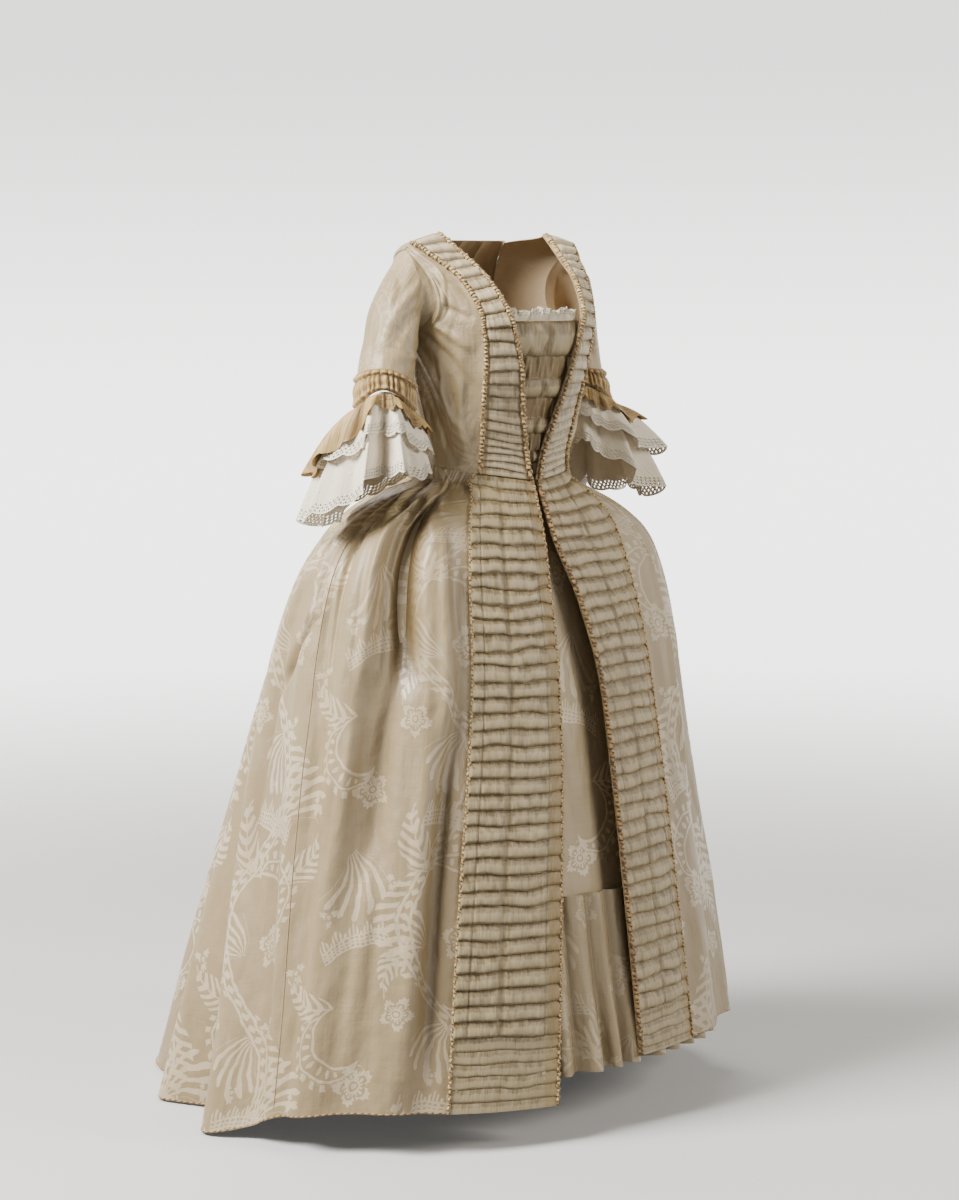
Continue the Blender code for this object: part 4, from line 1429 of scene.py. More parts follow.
HEM_CORD = Cord("damask", radius=0.0015, rows=420, rise=-0.0006)
SEAM_CORD = Cord("damask", radius=0.0007, rows=200, rise=-0.0004, cloth="lining", span=(0.05, 0.985))
SKIRT_GIMP = Cord("tan_silk", radius=0.0022, rows=720, rise=0.0006, cloth="ruched", gathers=120)


@dataclass
class Bodice:
    """The fitted bodice on one side of the body, with its front, its back and its robing."""

    side: Side
    front_rows: tuple[Row, ...] = table(Row,
        (0.0, 0.002, WAIST_FRONT, WAIST_SIDE_ANGLE, WAIST_SIDE), (0.125, 0.015, 1.06, 93.0, 1.085),
        (0.25, 0.031, 1.12, 91.5, 1.14), (0.375, 0.046, 1.185, 90.5, 1.19), (0.5, 0.061, 1.24, 90.0, 1.235))
    neck_edge: tuple[Edge, ...] = table(Edge,
        (1.24, 0.061), (1.268, 0.07), (1.31, 0.081), (1.35, 0.091), (1.384, 0.101))
    back_rows: tuple[BackRow, ...] = table(BackRow,
        (0.0, 150.0, WAIST_SIDE), (0.5, 150.0, 1.24), (0.75, 150.0, 1.33), (0.875, 150.0, 1.37),
        (1.0, 90.2, 1.384))
    robing_share: tuple[Edge, ...] = table(Edge, (0.0, 0.46), (0.25, 0.36), (0.5, 0.28), (0.65, 0.36), (1.0, 0.72))
    armpit_part: float = 0.5
    creases: tuple[Crease, ...] = table(Crease,
        (0.97, 0.48, 0.46, 0.06, 0.014, 0.0056), (0.98, 0.42, 0.66, 0.04, 0.01, -0.0046),
        (0.92, 0.53, 0.44, 0.26, 0.012, -0.0044), (0.96, 0.36, 0.8, 0.02, 0.012, 0.0046),
        (0.84, 0.58, 0.46, 0.42, 0.011, 0.0042), (0.97, 0.24, 0.9, 0.03, 0.009, -0.0036),
        (0.88, 0.68, 0.5, 0.58, 0.012, -0.0036), (0.62, 0.82, 0.9, 0.68, 0.012, 0.0042),
        (0.94, 0.8, 0.86, 0.56, 0.008, 0.004), (0.86, 0.84, 0.78, 0.6, 0.008, -0.003),
        (0.56, 0.34, 0.52, 0.02, 0.014, 0.003), (0.74, 0.4, 0.6, 0.1, 0.009, 0.0032))
    back_creases: tuple[Crease, ...] = table(Crease,
        (0.05, 0.46, 0.6, 0.12, 0.012, 0.0028), (0.05, 0.36, 0.35, 0.03, 0.01, -0.0024),
        (0.1, 0.22, 0.75, 0.3, 0.014, 0.0022), (0.3, 0.62, 0.8, 0.5, 0.012, -0.002))
    robing: PuffRows = PuffRows(pitches=((0.0, 0.0105), (0.055, 0.0125), (0.12, 0.0215), (0.24, 0.0225)),
                                height=0.0070, width=0.052, selvedges=(0.17, 0.17), upward=True, seed=4.0,
                                swell=((0.0, 0.40), (0.12, 0.50), (0.24, 0.95), (1.6, 1.0)))
    gimp: Cord = Cord("tan_silk", radius=0.0035, rows=420, rise=0.0002, cloth="ruched", gathers=70)
    softness: float = 0.0012
    panel_width: float = 0.23
    panel_length: float = 0.40

    def _side_edge(self, v: Array, way: float) -> tuple[Array, Array]:
        """Angle and height of a panel's side edge, which runs on over the armhole.

        Args:
            v: Place up the panel.
            way: -1 for the front and 1 for the back.

        Returns:
            The edge's angles and heights.
        """
        part = (v - self.armpit_part) / (1.0 - self.armpit_part)
        hole_angle, hole_height = armhole(-90.0 + 180.0 * np.clip(part, 0.0, 1.0))
        return (self._below("side_angle", v, 90.0 + way * (hole_angle - 90.0)),
                self._below("side_height", v, hole_height))

    def _below(self, name: str, v: Array, above: Array) -> Array:
        """A column of the front's table up to the armpit, and other values above it."""
        low = column(self.front_rows, name, np.minimum(v, self.armpit_part), "part")
        return np.where(v < self.armpit_part, low, above)

    def front(self, u: Array, v: Array) -> Array:
        """The front's outer face.

        Args:
            u: Place from the opening to the side.
            v: Place from the waist up.

        Returns:
            The points.
        """
        part = (v - self.armpit_part) / (1.0 - self.armpit_part)
        neck = self.neck_edge[0].height + (self.neck_edge[-1].height - self.neck_edge[0].height) * part
        height = self._below("height", v, neck)
        out = self._below("out", v, column(self.neck_edge, "out", neck))
        side_angle, side_height = self._side_edge(v, -1.0)
        robing = column(self.robing_share, "out", v)
        past = (u - ROBING_PART) / (1.0 - ROBING_PART)
        share = np.where(u < ROBING_PART, u / ROBING_PART * robing, robing + (1.0 - robing) * past)
        inner = angle_at(TORSO, out, height)
        return ring_point(TORSO, inner + (side_angle - SEAM_ANGLE - inner) * share,
                          height + (side_height - height) * share, self.side.value)

    def back(self, u: Array, v: Array) -> Array:
        """The back's outer face.

        Args:
            u: Place from the side seam to under the sack.
            v: Place from the waist up.

        Returns:
            The points.
        """
        side_angle, side_height = self._side_edge(v, 1.0)
        angle = column(self.back_rows, "angle", v, "part")
        height = column(self.back_rows, "height", v, "part")
        return ring_point(TORSO, side_angle + SEAM_ANGLE + (angle - side_angle - SEAM_ANGLE) * u,
                          side_height + (height - side_height) * u, self.side.value)

    def _front_lift(self, u: Array, v: Array) -> Array:
        """The front's creases, which end at its edges and under its robing.

        Args:
            u: Place across.
            v: Place along.

        Returns:
            How far they stand out.
        """
        free = step_up(u, 0.36, 0.50) * step_up(1.0 - u, 0.0, 0.06) * step_up(v, 0.0, 0.05)
        soft = self.softness * ripple(u * self.panel_width, v * self.panel_length, 0.020, 0.050, 2.0)
        return (creased(self.creases, u, v, self.panel_width, self.panel_length) + soft) * free + SINK

    def _back_lift(self, u: Array, v: Array) -> Array:
        """The back's creases, which end at its edges."""
        free = inside(u, 0.10, 0.2) * inside(v, 0.05, 0.2)
        return creased(self.back_creases, u, v, self.panel_width, self.panel_length) * free + SINK

    def build(self, room: Workroom) -> None:
        """Make the front, the back and the robing with its gimp.

        Args:
            room: The workroom that makes the pieces.
        """
        word, sign = self.side.word, float(self.side.value)
        shade = {"shade": lambda u, v: np.maximum(
            0.6 * step_up(u, 0.80, 1.0) * bump(v - 0.46, 0.14),
            0.9 * step_up(u, 0.955, 0.990) * step_up(v, 0.42, 0.52) * (1.0 - step_up(v, 0.85, 1.0)))}
        room.sheet(f"bodice_front_{word}", lifted(self.front, sign, self._front_lift),
                   Cut(76, 92, origin=(0.31 if sign < 0 else 0.12, 0.18)), "damask_soft", sign, SILK,
                   "lining", shade)
        room.sheet(f"bodice_back_{word}", lifted(self.back, sign, self._back_lift), Cut(44, 64, origin=(0.05, 0.33)),
                   "damask_soft", sign, SILK, "lining")
        under = lambda u, v: self.front(u * ROBING_PART, v)
        length = arcs(under, 0.5)
        stations = self.robing.stations(length)
        room.sheet(f"robing_{word}", self.robing.laid(under, sign, length),
                   Cut(40, len(stations) - 1, stations=stations), "robing_silk",
                   sign, thick=0.0,
                   marks=self.robing.marks(length, 0.05))
        for place, offset in (("inner", 0.055), ("outer", 0.945)):
            line = scallops(offset, 0.0010, 0.014, self.robing.width, length)
            room.sew(f"robing_gimp_{place}_{word}", under, line, sign, self.gimp)


@dataclass
class Stomacher:
    """The stomacher in the opening, with its rows of puffs and ruching and its lace."""

    edge: tuple[Edge, ...] = table(Edge, (0.996, 0.02), (1.06, 0.033), (1.12, 0.049), (1.185, 0.064), (1.25, 0.082))
    point: float = 0.996
    top: float = 1.250
    sink: float = 0.012
    lace_rise: float = 0.022
    lace_waves: int = 5
    lace_sway: float = 0.0046
    lace_crimp: float = 0.0016
    bands: tuple[Band, ...] = table(Band,
        (1.196, 1.25, False), (1.163, 1.196, True), (1.132, 1.163, False), (1.101, 1.132, True),
        (1.076, 1.101, False), (1.05, 1.076, True), (1.03, 1.05, False), (1.012, 1.03, True),
        (0.996, 1.012, False))
    puff: float = 0.0074
    ruche: float = 0.0036
    gather: float = 0.0058

    def _height(self, v: Array) -> Array:
        """Height above the floor of a place along."""
        return self.point + (self.top - self.point) * v

    def face(self, u: Array, v: Array) -> Array:
        """The stomacher's outer face.

        Args:
            u: Place from the wearer's right.
            v: Place from its point up.

        Returns:
            The points.
        """
        height = self._height(v)
        across = (2.0 * u - 1.0) * column(self.edge, "out", height)
        return ring_point(TORSO, angle_at(TORSO, across, height), height, 1.0, -self.sink)

    def frill(self, u: Array, v: Array) -> Array:
        """The lace frill along the top.

        Args:
            u: Place from the wearer's right.
            v: Place from the stomacher's edge up.

        Returns:
            The points.
        """
        line = self.face(u, np.full_like(v, 1.0))
        sway = (self.lace_sway * np.cos(u * self.lace_waves * FULL_TURN + 0.9 * np.sin(u * 7.0))
                + self.lace_crimp * np.sin(u * 83.0)) * v
        rise = self.lace_rise * v * (0.74 + 0.14 * np.abs(np.sin(u * 11.0 * math.pi)) + 0.12 * np.sin(u * 19.0))
        line[..., 1] += sway
        line[..., 2] += SEAM + rise
        return line

    def _band(self, v: Array) -> tuple[Array, Array]:
        """The band at each place along.

        Args:
            v: Place from the stomacher's point up.

        Returns:
            The place in the band's own height, and whether the band is ruched.
        """
        height = self._height(v)
        share, ruched = np.zeros_like(height), np.zeros_like(height)
        for band in self.bands:
            here = (height >= band.low - SAME) & (height <= band.high + SAME)
            share = np.where(here, (height - band.low) / (band.high - band.low), share)
            ruched = np.where(here, float(band.ruched), ruched)
        return share, ruched

    def _row(self, u: Array, v: Array) -> Array:
        """The row of the trimming, counted down from its top."""
        edges = sorted({band.low for band in self.bands} | {self.top})
        return len(edges) - np.interp(self._height(v), edges, np.arange(len(edges)))

    def _full(self, u: Array, v: Array) -> Array:
        """How full the trimming is.

        Args:
            u: Place across.
            v: Place along.

        Returns:
            The fullness, about 0 to 1.
        """
        share, ruched = self._band(v)
        width = 2.0 * column(self.edge, "out", self._height(v))
        swell = np.sin(np.clip(share, 0.0, 1.0) * math.pi) ** 0.5
        lobes = 1.0 - 0.72 * bump(u - 0.5 + 0.02 * np.sin(v * 40.0), 0.09)
        gathers = 0.5 + 0.5 * ripple((u - 0.5) * width, v * 0.25, self.gather, 0.05, 6.0)
        plain = swell * lobes * (0.86 + 0.14 * ripple((u - 0.5) * width, v * 0.25, 0.011, 0.02, 9.0))
        ruche = (-0.55 + 1.60 * gathers) * (0.55 + 0.45 * swell)
        return np.where(ruched > 0.5, ruche, plain * 1.12) * (0.25 + 0.75 * inside(u, 0.07, 0.07))

    def _lift(self, u: Array, v: Array) -> Array:
        """How far the trimming stands off the stomacher."""
        height = np.where(self._band(v)[1] > 0.5, self.ruche * 1.6, self.puff)
        return SKIN + height * np.maximum(self._full(u, v), 0.0) * rimmed(u, 0.02)

    def build(self, room: Workroom) -> None:
        """Make the stomacher, its trimming and its lace.

        Args:
            room: The workroom that makes the pieces.
        """
        room.sheet("stomacher", self.face, Cut(40, 60), "damask_soft",
                   1.0, SILK, "lining")
        marks = {"row": self._row, "full": self._full,
                 "border": lambda u, v: np.maximum(0.20 * self._band(v)[1], 0.55 * (1.0 - inside(u, 0.07, 0.07)))}
        room.sheet("stomacher_trim", lifted(self.face, 1.0, self._lift), Cut(110, 190), "trim_silk",
                   1.0, thick=0.0, marks=marks)
        hem = {"hem": lambda u, v: (1.0 - v) * self.lace_rise}
        room.sheet("stomacher_lace", self.frill, Cut(120, 8), "lace",
                   1.0, FINE, marks=hem)


@dataclass
class RobeSkirt:
    """One side of the robe's skirt, with the trimming along its front edge."""

    side: Side
    folds: tuple[Fold, ...]
    creases: tuple[Crease, ...]
    pinches: tuple[Pinch, ...]
    selvedges: tuple[float, float]
    trim_end: float
    pleat: tuple[Edge, ...]
    # Painted shade in the hollows: creases whose depth below 0 gives its strength.
    hollows: tuple[Crease, ...]
    seam: float
    inner_gimp: Cord = SKIRT_GIMP
    sway: float = 0.006
    softness: float = 0.0016
    gathers: float = 0.0022
    width: float = 0.80
    length: float = 1.02

    def angle_height(self, u: Array, v: Array) -> tuple[Array, Array, Array]:
        """Where the skirt's places lie on the robe's form.

        Args:
            u: Place from the front edge to the sack's seam.
            v: Place from the waist down.

        Returns:
            The angle, the height, and the place across the plain part.
        """
        fall = skirt_fall(v)
        height = WAIST_FRONT * (1.0 - fall)
        across = np.clip((u - SKIRT_TRIM_PART) / (1.0 - SKIRT_TRIM_PART), 0.0, 1.2)
        for _ in range(3):
            front = angle_at(ROBE, column(FRONT_EDGE[self.side], "out", height), height)
            trim = angle_at(ROBE, column(TRIM_EDGE[self.side], "out", height), height)
            seam = angle_at(ROBE, column(SACK_EDGE, "out", height), height, behind=True) - 0.5 * SEAM_ANGLE
            angle = np.where(u < SKIRT_TRIM_PART, front + (trim - front) * u / SKIRT_TRIM_PART,
                             trim + (seam - trim) * across)
            rise = (WAIST_SIDE - WAIST_FRONT) * np.minimum(angle / WAIST_SIDE_ANGLE, 1.0)
            top = WAIST_FRONT + rise - SEAM
            height = top + (column(HEM[self.side], "height", angle, "angle") - top) * fall
        return angle, height, across

    def _reach(self, u: Array, v: Array, height: Array, across: Array) -> Array:
        """How far the skirt's folds and creases stand out.

        Args:
            u: Place from the front edge to the sack's seam.
            v: Place from the waist down.
            height: Height above the floor there.
            across: Place across the plain part.

        Returns:
            The distance.
        """
        drift = step_up(v, 0.25, 1.0)
        reach = np.zeros_like(height)
        for index, fold in enumerate(self.folds):
            place = fold.place + (fold.low_place - fold.place) * drift
            place = place + self.sway * wander(v, 0.22, 3.0 + index)
            size = smooth(FOLD_HEIGHTS, (fold.hem, fold.knee, fold.hip, 0.0), height)
            reach = reach + size * bump(across - place, fold.spread)
        free = inside(across, 0.06, 0.05) * step_up(v, 0.0, 0.06)
        reach = reach + creased(self.creases, across, v, self.width, self.length) * free
        reach = reach + self.softness * ripple(across * self.width, v, 0.035, 0.12, 8.0 + self.side.value) * free
        gathers = self.gathers * wander(across * self.width, 0.0065, 5.0) * bump(v - 0.01, 0.075)
        return np.where(u > SKIRT_TRIM_PART, reach + gathers * step_up(across, 0.0, 0.06), 0.0)

    def face(self, u: Array, v: Array) -> Array:
        """The skirt's outer face: u from the front edge to the sack's seam, v from the waist."""
        angle, height, across = self.angle_height(u, v)
        return ring_point(ROBE, angle, height, self.side.value, self._reach(u, v, height, across))

    def _shade(self, u: Array, v: Array) -> Array:
        """Painted shadow behind the pleat at the side, and painted shade in the skirt's hollows.

        Args:
            u: Place from the front edge to the sack's seam.
            v: Place from the waist down.

        Returns:
            The shadow, 0 to 1.
        """
        across = (u - SKIRT_TRIM_PART) / (1.0 - SKIRT_TRIM_PART)
        line = column(self.pleat, "out", v)
        # Painted shadow in a strip just behind the pleat's edge, and painted shade in the hollows.
        behind = step_up(across - line, 0.0, 0.012) * (1.0 - step_up(across - line, 0.035, 0.085))
        hollow = -creased(self.hollows, across, v, self.width, self.length)
        return np.clip(behind * step_up(v, 0.18, 0.40) * 0.80 + hollow, 0.0, 1.0)

    def build(self, room: Workroom) -> None:
        """Make the skirt, its trimming, the gimp along the trimming and the hem's cord.

        Args:
            room: The workroom that makes the pieces.
        """
        word, sign = self.side.word, -float(self.side.value)
        room.sheet(f"skirt_{word}", self.face,
                   Cut(150, 150, rise=-1.0, origin=(0.10 if sign > 0 else 0.37, 0.0)), "damask",
                   sign, SILK, "lining", {"shade": self._shade})
        under = lambda u, v: self.face(u * SKIRT_TRIM_PART, v)
        length = arcs(under, 0.5)
        ends = float(length(self.trim_end))
        rows = PuffRows(pitches=((0.0, 0.0215), (0.25, 0.0240), (ends, 0.0250), (ends + 0.001, 0.019)),
                        height=0.0062, width=0.145, pinches=self.pinches, selvedges=self.selvedges, ends=ends,
                        seed=2.0 + self.side.value)
        stations = rows.stations(length)
        room.sheet(f"skirt_trim_{word}", rows.laid(under, sign, length),
                   Cut(66, len(stations) - 1, rise=-1.0, stations=stations), "trim_silk",
                   sign, thick=0.0,
                   marks=rows.marks(length, 0.022))
        for place, offset, cord in (("inner", 0.012, self.inner_gimp), ("outer", 0.985, SKIRT_GIMP)):
            line = scallops(offset, 0.0013, 0.0120, rows.width, length)
            room.sew(f"skirt_gimp_{place}_{word}", under, line, sign, cord)
        seam = SKIRT_TRIM_PART + (1.0 - SKIRT_TRIM_PART) * self.seam
        room.sew(f"skirt_seam_{word}", self.face, lambda v: seam + self.sway * np.sin(v * 5.0), sign, SEAM_CORD)
        room.edge(f"skirt_hem_{word}", self.face, HEM_PLACE, HEM_BED, -sign, HEM_CORD)


@dataclass
class SackBack:
    """The sack back, two double box pleats side by side that fall from the neck into a train."""

    pleats: int = 4
    top_part: float = 0.25
    top_ease: float = 0.5
    neck_pull: float = 0.0135
    relief_heights: tuple[float, ...] = (0.0, 0.5, 0.95, 1.30, 1.376)
    relief: tuple[float, ...] = (0.030, 0.026, 0.020, 0.011, 0.008)
    creases: tuple[Crease, ...] = table(Crease,
        (0.12, 0.3, 0.07, 0.98, 0.03, 0.01), (0.22, 0.35, 0.2, 0.99, 0.024, -0.009),
        (0.33, 0.28, 0.34, 0.97, 0.026, 0.008), (0.44, 0.34, 0.46, 0.99, 0.022, -0.008),
        (0.57, 0.3, 0.55, 0.98, 0.026, 0.01), (0.68, 0.36, 0.7, 0.97, 0.022, -0.009),
        (0.8, 0.28, 0.83, 0.99, 0.028, 0.009), (0.9, 0.33, 0.93, 0.98, 0.024, -0.009),
        (0.3, 0.08, 0.36, 0.3, 0.01, 0.003), (0.64, 0.06, 0.6, 0.32, 0.01, -0.003),
        (0.16, 0.1, 0.2, 0.4, 0.011, -0.0028), (0.86, 0.12, 0.82, 0.36, 0.011, 0.003))
    softness: float = 0.002
    width: float = 0.55
    length: float = 1.50

    def face(self, u: Array, v: Array) -> Array:
        """The sack's outer face.

        Args:
            u: Place from the wearer's right.
            v: Place from the neck to the floor.

        Returns:
            The points.
        """
        top, waist = SACK_EDGE[-1].height, WAIST_SIDE - SEAM
        part = np.maximum(v, 0.0) / self.top_part
        above = top + (waist - top) * (part * part * self.top_ease + part * (1.0 - self.top_ease))
        past = np.maximum(v - self.top_part, 0.0) / (1.0 - self.top_part)
        below = waist + (TRAIN_HEIGHT - waist) * skirt_fall(past)
        height = np.where(v < self.top_part, above, below)
        across = 2.0 * u - 1.0
        seam = angle_at(ROBE, column(SACK_EDGE, "out", height), height, behind=True) + 0.5 * SEAM_ANGLE
        angle = 180.0 - (180.0 - seam) * np.abs(across)
        wave = np.abs(np.sin(across * math.pi * self.pleats / 2.0))
        flat = wave ** 0.55 + 0.10 * np.sin(across * math.pi * self.pleats) ** 2
        reach = smooth(self.relief_heights, self.relief, height) * np.minimum(flat, 1.0)
        reach = reach - self.neck_pull * step_up(height, 1.320, 1.376)
        free = inside(u, 0.04, 0.04)
        reach = reach + creased(self.creases, u, v, self.width, self.length) * free
        reach = reach + self.softness * ripple(u * self.width, v * self.length, 0.03, 0.16, 3.0) * free
        return ring_point(ROBE, np.copysign(angle, across), height, 1.0, reach)

    def build(self, room: Workroom) -> None:
        """Make the sack and its hem.

        Args:
            room: The workroom that makes the pieces.
        """
        shade = {"shade": lambda u, v: 0.5 * bump(from_whole(u * self.pleats), 0.06) * step_up(v, 0, 0.05)}
        room.sheet("sack_back", self.face, Cut(152, 150, rise=-1.0, origin=(0.25, 0.11)), "damask",
                   1.0, SILK, "lining", shade)
        room.edge("sack_hem", self.face, HEM_PLACE, HEM_BED, 1.0, HEM_CORD)


@dataclass
class Underskirt:
    """The petticoat with its pleated flounce."""

    folds: float = 19.0
    fold_depth: float = 0.0055
    clear: float = 0.0003
    flounce_top: float = 0.365
    flounce_angles: tuple[float, float] = (-36.0, 50.0)
    pleats: int = 13
    off: float = 0.004
    tuck: float = 0.011
    swell: float = 0.014
    stitched: float = 0.30
    gimp: Cord = Cord("tan_silk", radius=0.0011, rows=460, rise=0.0004)
    gimp_bed: float = 0.08

    def face(self, u: Array, v: Array) -> Array:
        """The petticoat's outer face.

        Args:
            u: Place once round from the centre back.
            v: Place from the waist down.

        Returns:
            The points.
        """
        top, low = PETTICOAT[-1].height, PETTICOAT[0].height
        height = top + (low - top) * skirt_fall(v)
        round_waist = u * FULL_TURN
        fold = 0.5 + 0.5 * np.sin(round_waist * self.folds + 1.6 * np.sin(round_waist * 3.0))
        reach = -self.fold_depth * fold * step_up(v, 0.02, 0.5) - self.clear
        return ring_point(PETTICOAT, (u - 0.5) * 360.0, height, 1.0, reach)

    def flounce(self, u: Array, v: Array) -> Array:
        """The flounce's outer face: flat box pleats, stitched down above and loose below.

        Args:
            u: Place from the wearer's right.
            v: Place from its heading down.

        Returns:
            The points.
        """
        low = PETTICOAT[0].height + 0.002
        height = self.flounce_top + (low - self.flounce_top) * v
        turn = self.flounce_angles[0] + (self.flounce_angles[1] - self.flounce_angles[0]) * u
        loose = step_up(v, self.stitched, 1.0)
        phase = u * self.pleats + 0.05 * np.sin(u * 37.0) + 0.10 * loose * np.sin(u * 23.0 + 1.0)
        wave = 0.5 - 0.5 * np.cos(phase * FULL_TURN)
        box = wave ** (0.45 + 0.35 * loose)
        swell = self.swell * loose * (0.85 + 0.15 * np.sin(u * 31.0))
        reach = self.off + (self.tuck + swell) * box
        return ring_point(PETTICOAT, turn, height, 1.0, reach)

    def build(self, room: Workroom) -> None:
        """Make the petticoat, the flounce and the flounce's stitched heading.

        Args:
            room: The workroom that makes the pieces.
        """
        # The petticoat takes the brighter copy of the damask: painted light.
        room.sheet("petticoat", self.face, Cut(200, 60, closed=True, rise=-1.0), "damask_light",
                   -1.0, SILK, "lining")
        shade = {"shade": lambda u, v: 0.95 * bump(from_whole(u * self.pleats), 0.24)}
        room.sheet("petticoat_flounce", self.flounce, Cut(234, 34, rise=-1.0), "damask",
                   -1.0, SILK, "lining", shade)
        for name, place in (("top", 0.012), ("stitching", self.stitched)):
            room.edge(f"petticoat_gimp_{name}", self.flounce, place, self.gimp_bed, 1.0, self.gimp)


@dataclass
class Arm:
    """A sleeve with its cuff band and the tiers of ruffles below its elbow."""

    side: Side
    rings: tuple[ArmRing, ...]
    ruffles: tuple[TierSide, ...]
    arch_turn: float
    creases: tuple[Crease, ...]
    tiers: tuple[Tier, ...] = table(Tier,
        ("flounce", 0.0, 0.0045, "flounce", "flare", 13.0, 0.0070),
        ("engageante_upper", 0.0075, 0.0025, "upper", "flare", 11.0, 0.0062),
        ("engageante_lower", 0.014, 0.003, "lower", "low_flare", 11.0, 0.0062))
    girth: float = 0.31
    length: float = 0.17
    arch: float = 0.033
    arch_row: float = 3.0
    arch_ease: float = 1.5
    cuff_start: float = 5.0 / 7.0
    head_gathers: float = 0.0016
    cuff_round: float = 0.30
    cuff_height: float = 0.0058
    cuff_rows: float = 0.42
    bubble: float = 0.0115
    gather: float = 0.0095
    folds: int = 8
    fold_depth: float = 0.0190
    full_drop: float = 0.14
    most: float = 1.3
    spring: float = 0.6
    drift: float = 0.8
    behind: float = 0.007
    crinkle: float = 0.0026
    crimp: float = 0.0007
    hem_sway: float = 0.0050

    def _arch(self, turn: Array) -> Array:
        """How far the elbow's edge falls at a turn round the arm."""
        return self.arch * np.cos(turn - math.radians(self.arch_turn)) ** 2

    def sleeve(self, u: Array, v: Array) -> Array:
        """The sleeve's outer face.

        Args:
            u: Place once round from the inner seam.
            v: Place from the armhole to the cuff.

        Returns:
            The points.
        """
        turn = u * FULL_TURN
        last = len(self.rings)
        place = v * last
        at = np.clip(place - 1.0, 0.0, last - 1.0)
        index = np.arange(last)
        read = {name: smooth(index, [getattr(ring, name) for ring in self.rings], at) for name in ArmRing._fields}
        blend = 0.5 - 0.5 * np.cos(turn)
        across = read["inner"] + (read["outer"] - read["inner"]) * blend
        height = read["inner_height"] + (read["outer_height"] - read["inner_height"]) * blend
        tube = np.stack((self.side.value * across, read["y"] - read["half_depth"] * np.sin(turn),
                         height - HOLD_HEIGHT), axis=-1)
        hole_angle, hole_height = armhole(-90.0 - np.degrees(turn))
        hole = ring_point(TORSO, 90.0 + (hole_angle - 90.0) * HOLE_LAP,
                          ARMHOLE_MIDDLE + (hole_height - ARMHOLE_MIDDLE) * HOLE_LAP, self.side.value, HOLE_CLEAR)
        arm = hole + (tube - hole) * np.clip(place, 0.0, 1.0)[..., None]
        share = np.clip((place - self.arch_row) / (last - self.arch_row), 0.0, 1.0)
        arm[..., 2] -= self._arch(turn) * share ** self.arch_ease
        return arm

    def _sleeve_lift(self, u: Array, v: Array) -> Array:
        """The sleeve's creases, which end at its armhole and under its cuff.

        Args:
            u: Place once round.
            v: Place along.

        Returns:
            How far they stand out.
        """
        free = step_up(v, 0.03, 0.16) * (1.0 - step_up(v, self.cuff_start - 0.06, self.cuff_start))
        wrap = sum(creased(self.creases, lap, v, self.girth, self.length) for lap in (u, u - 1.0))
        gathers = self.head_gathers * wander(u * self.girth + 1.0, 0.010, 3.0) * bump(v - 0.06, 0.12)
        return (wrap + gathers * np.sin(u * math.pi) ** 2) * free + SINK

    def _cuff_full(self, u: Array, v: Array) -> Array:
        """How full the cuff's ruching is: bubbles along its top, and gathers below them.

        Args:
            u: Place once round.
            v: Place from the band's top down.

        Returns:
            The fullness, 0 to 1.
        """
        x = u * self.cuff_round
        bubble = np.abs(np.sin(math.pi * (x / self.bubble) + 0.5 * np.sin(u * 40.0)))
        top = bubble ** 0.5 * bump(v - 0.13, 0.16)
        gathers = 0.5 + 0.5 * np.sin(FULL_TURN * x / self.gather + 1.3 * np.sin(u * 61.0) + 2.0 * v)
        rows = 0.5 + 0.5 * np.cos(FULL_TURN * (v - 0.5) / self.cuff_rows)
        middle = (0.38 + 0.24 * rows + 0.72 * (gathers - 0.5)) * step_up(v, 0.16, 0.34) * step_up(1.0 - v, 0.0, 0.12)
        return np.clip(np.maximum(top, middle), 0.0, 1.0)

    def _cuff_lift(self, u: Array, v: Array) -> Array:
        """How far the cuff band stands off the sleeve."""
        return SKIN + self.cuff_height * self._cuff_full(u, v)

    def _around(self, name: str, turn: Array) -> Array:
        """Read one number of the ruffles, which goes once round without a step.

        Args:
            name: The column to read.
            turn: Turn round the arm, in radians.

        Returns:
            The values.
        """
        values = [getattr(row, name) for row in self.ruffles] * 3
        places = [row.turn + lap for lap in (-360.0, 0.0, 360.0) for row in self.ruffles]
        return smooth(places, values, np.mod(np.degrees(turn), 360.0))

    def tier_drop(self, u: Array, v: Array, tier: Tier) -> Array:
        """How far below the cuff a place of a tier hangs, down to its scalloped hem.

        Args:
            u: Place once round from the inner seam.
            v: Place from the cuff to the hem.
            tier: The tier.

        Returns:
            The distance down.
        """
        turn = u * FULL_TURN
        length = self._around(tier.length, turn)
        scallop = np.abs(np.sin(turn * tier.scallops + 0.4)) ** 0.7
        length = length - tier.deep * (1.0 - scallop)
        return tier.start + (length - tier.start) * np.maximum(v, 0.0)

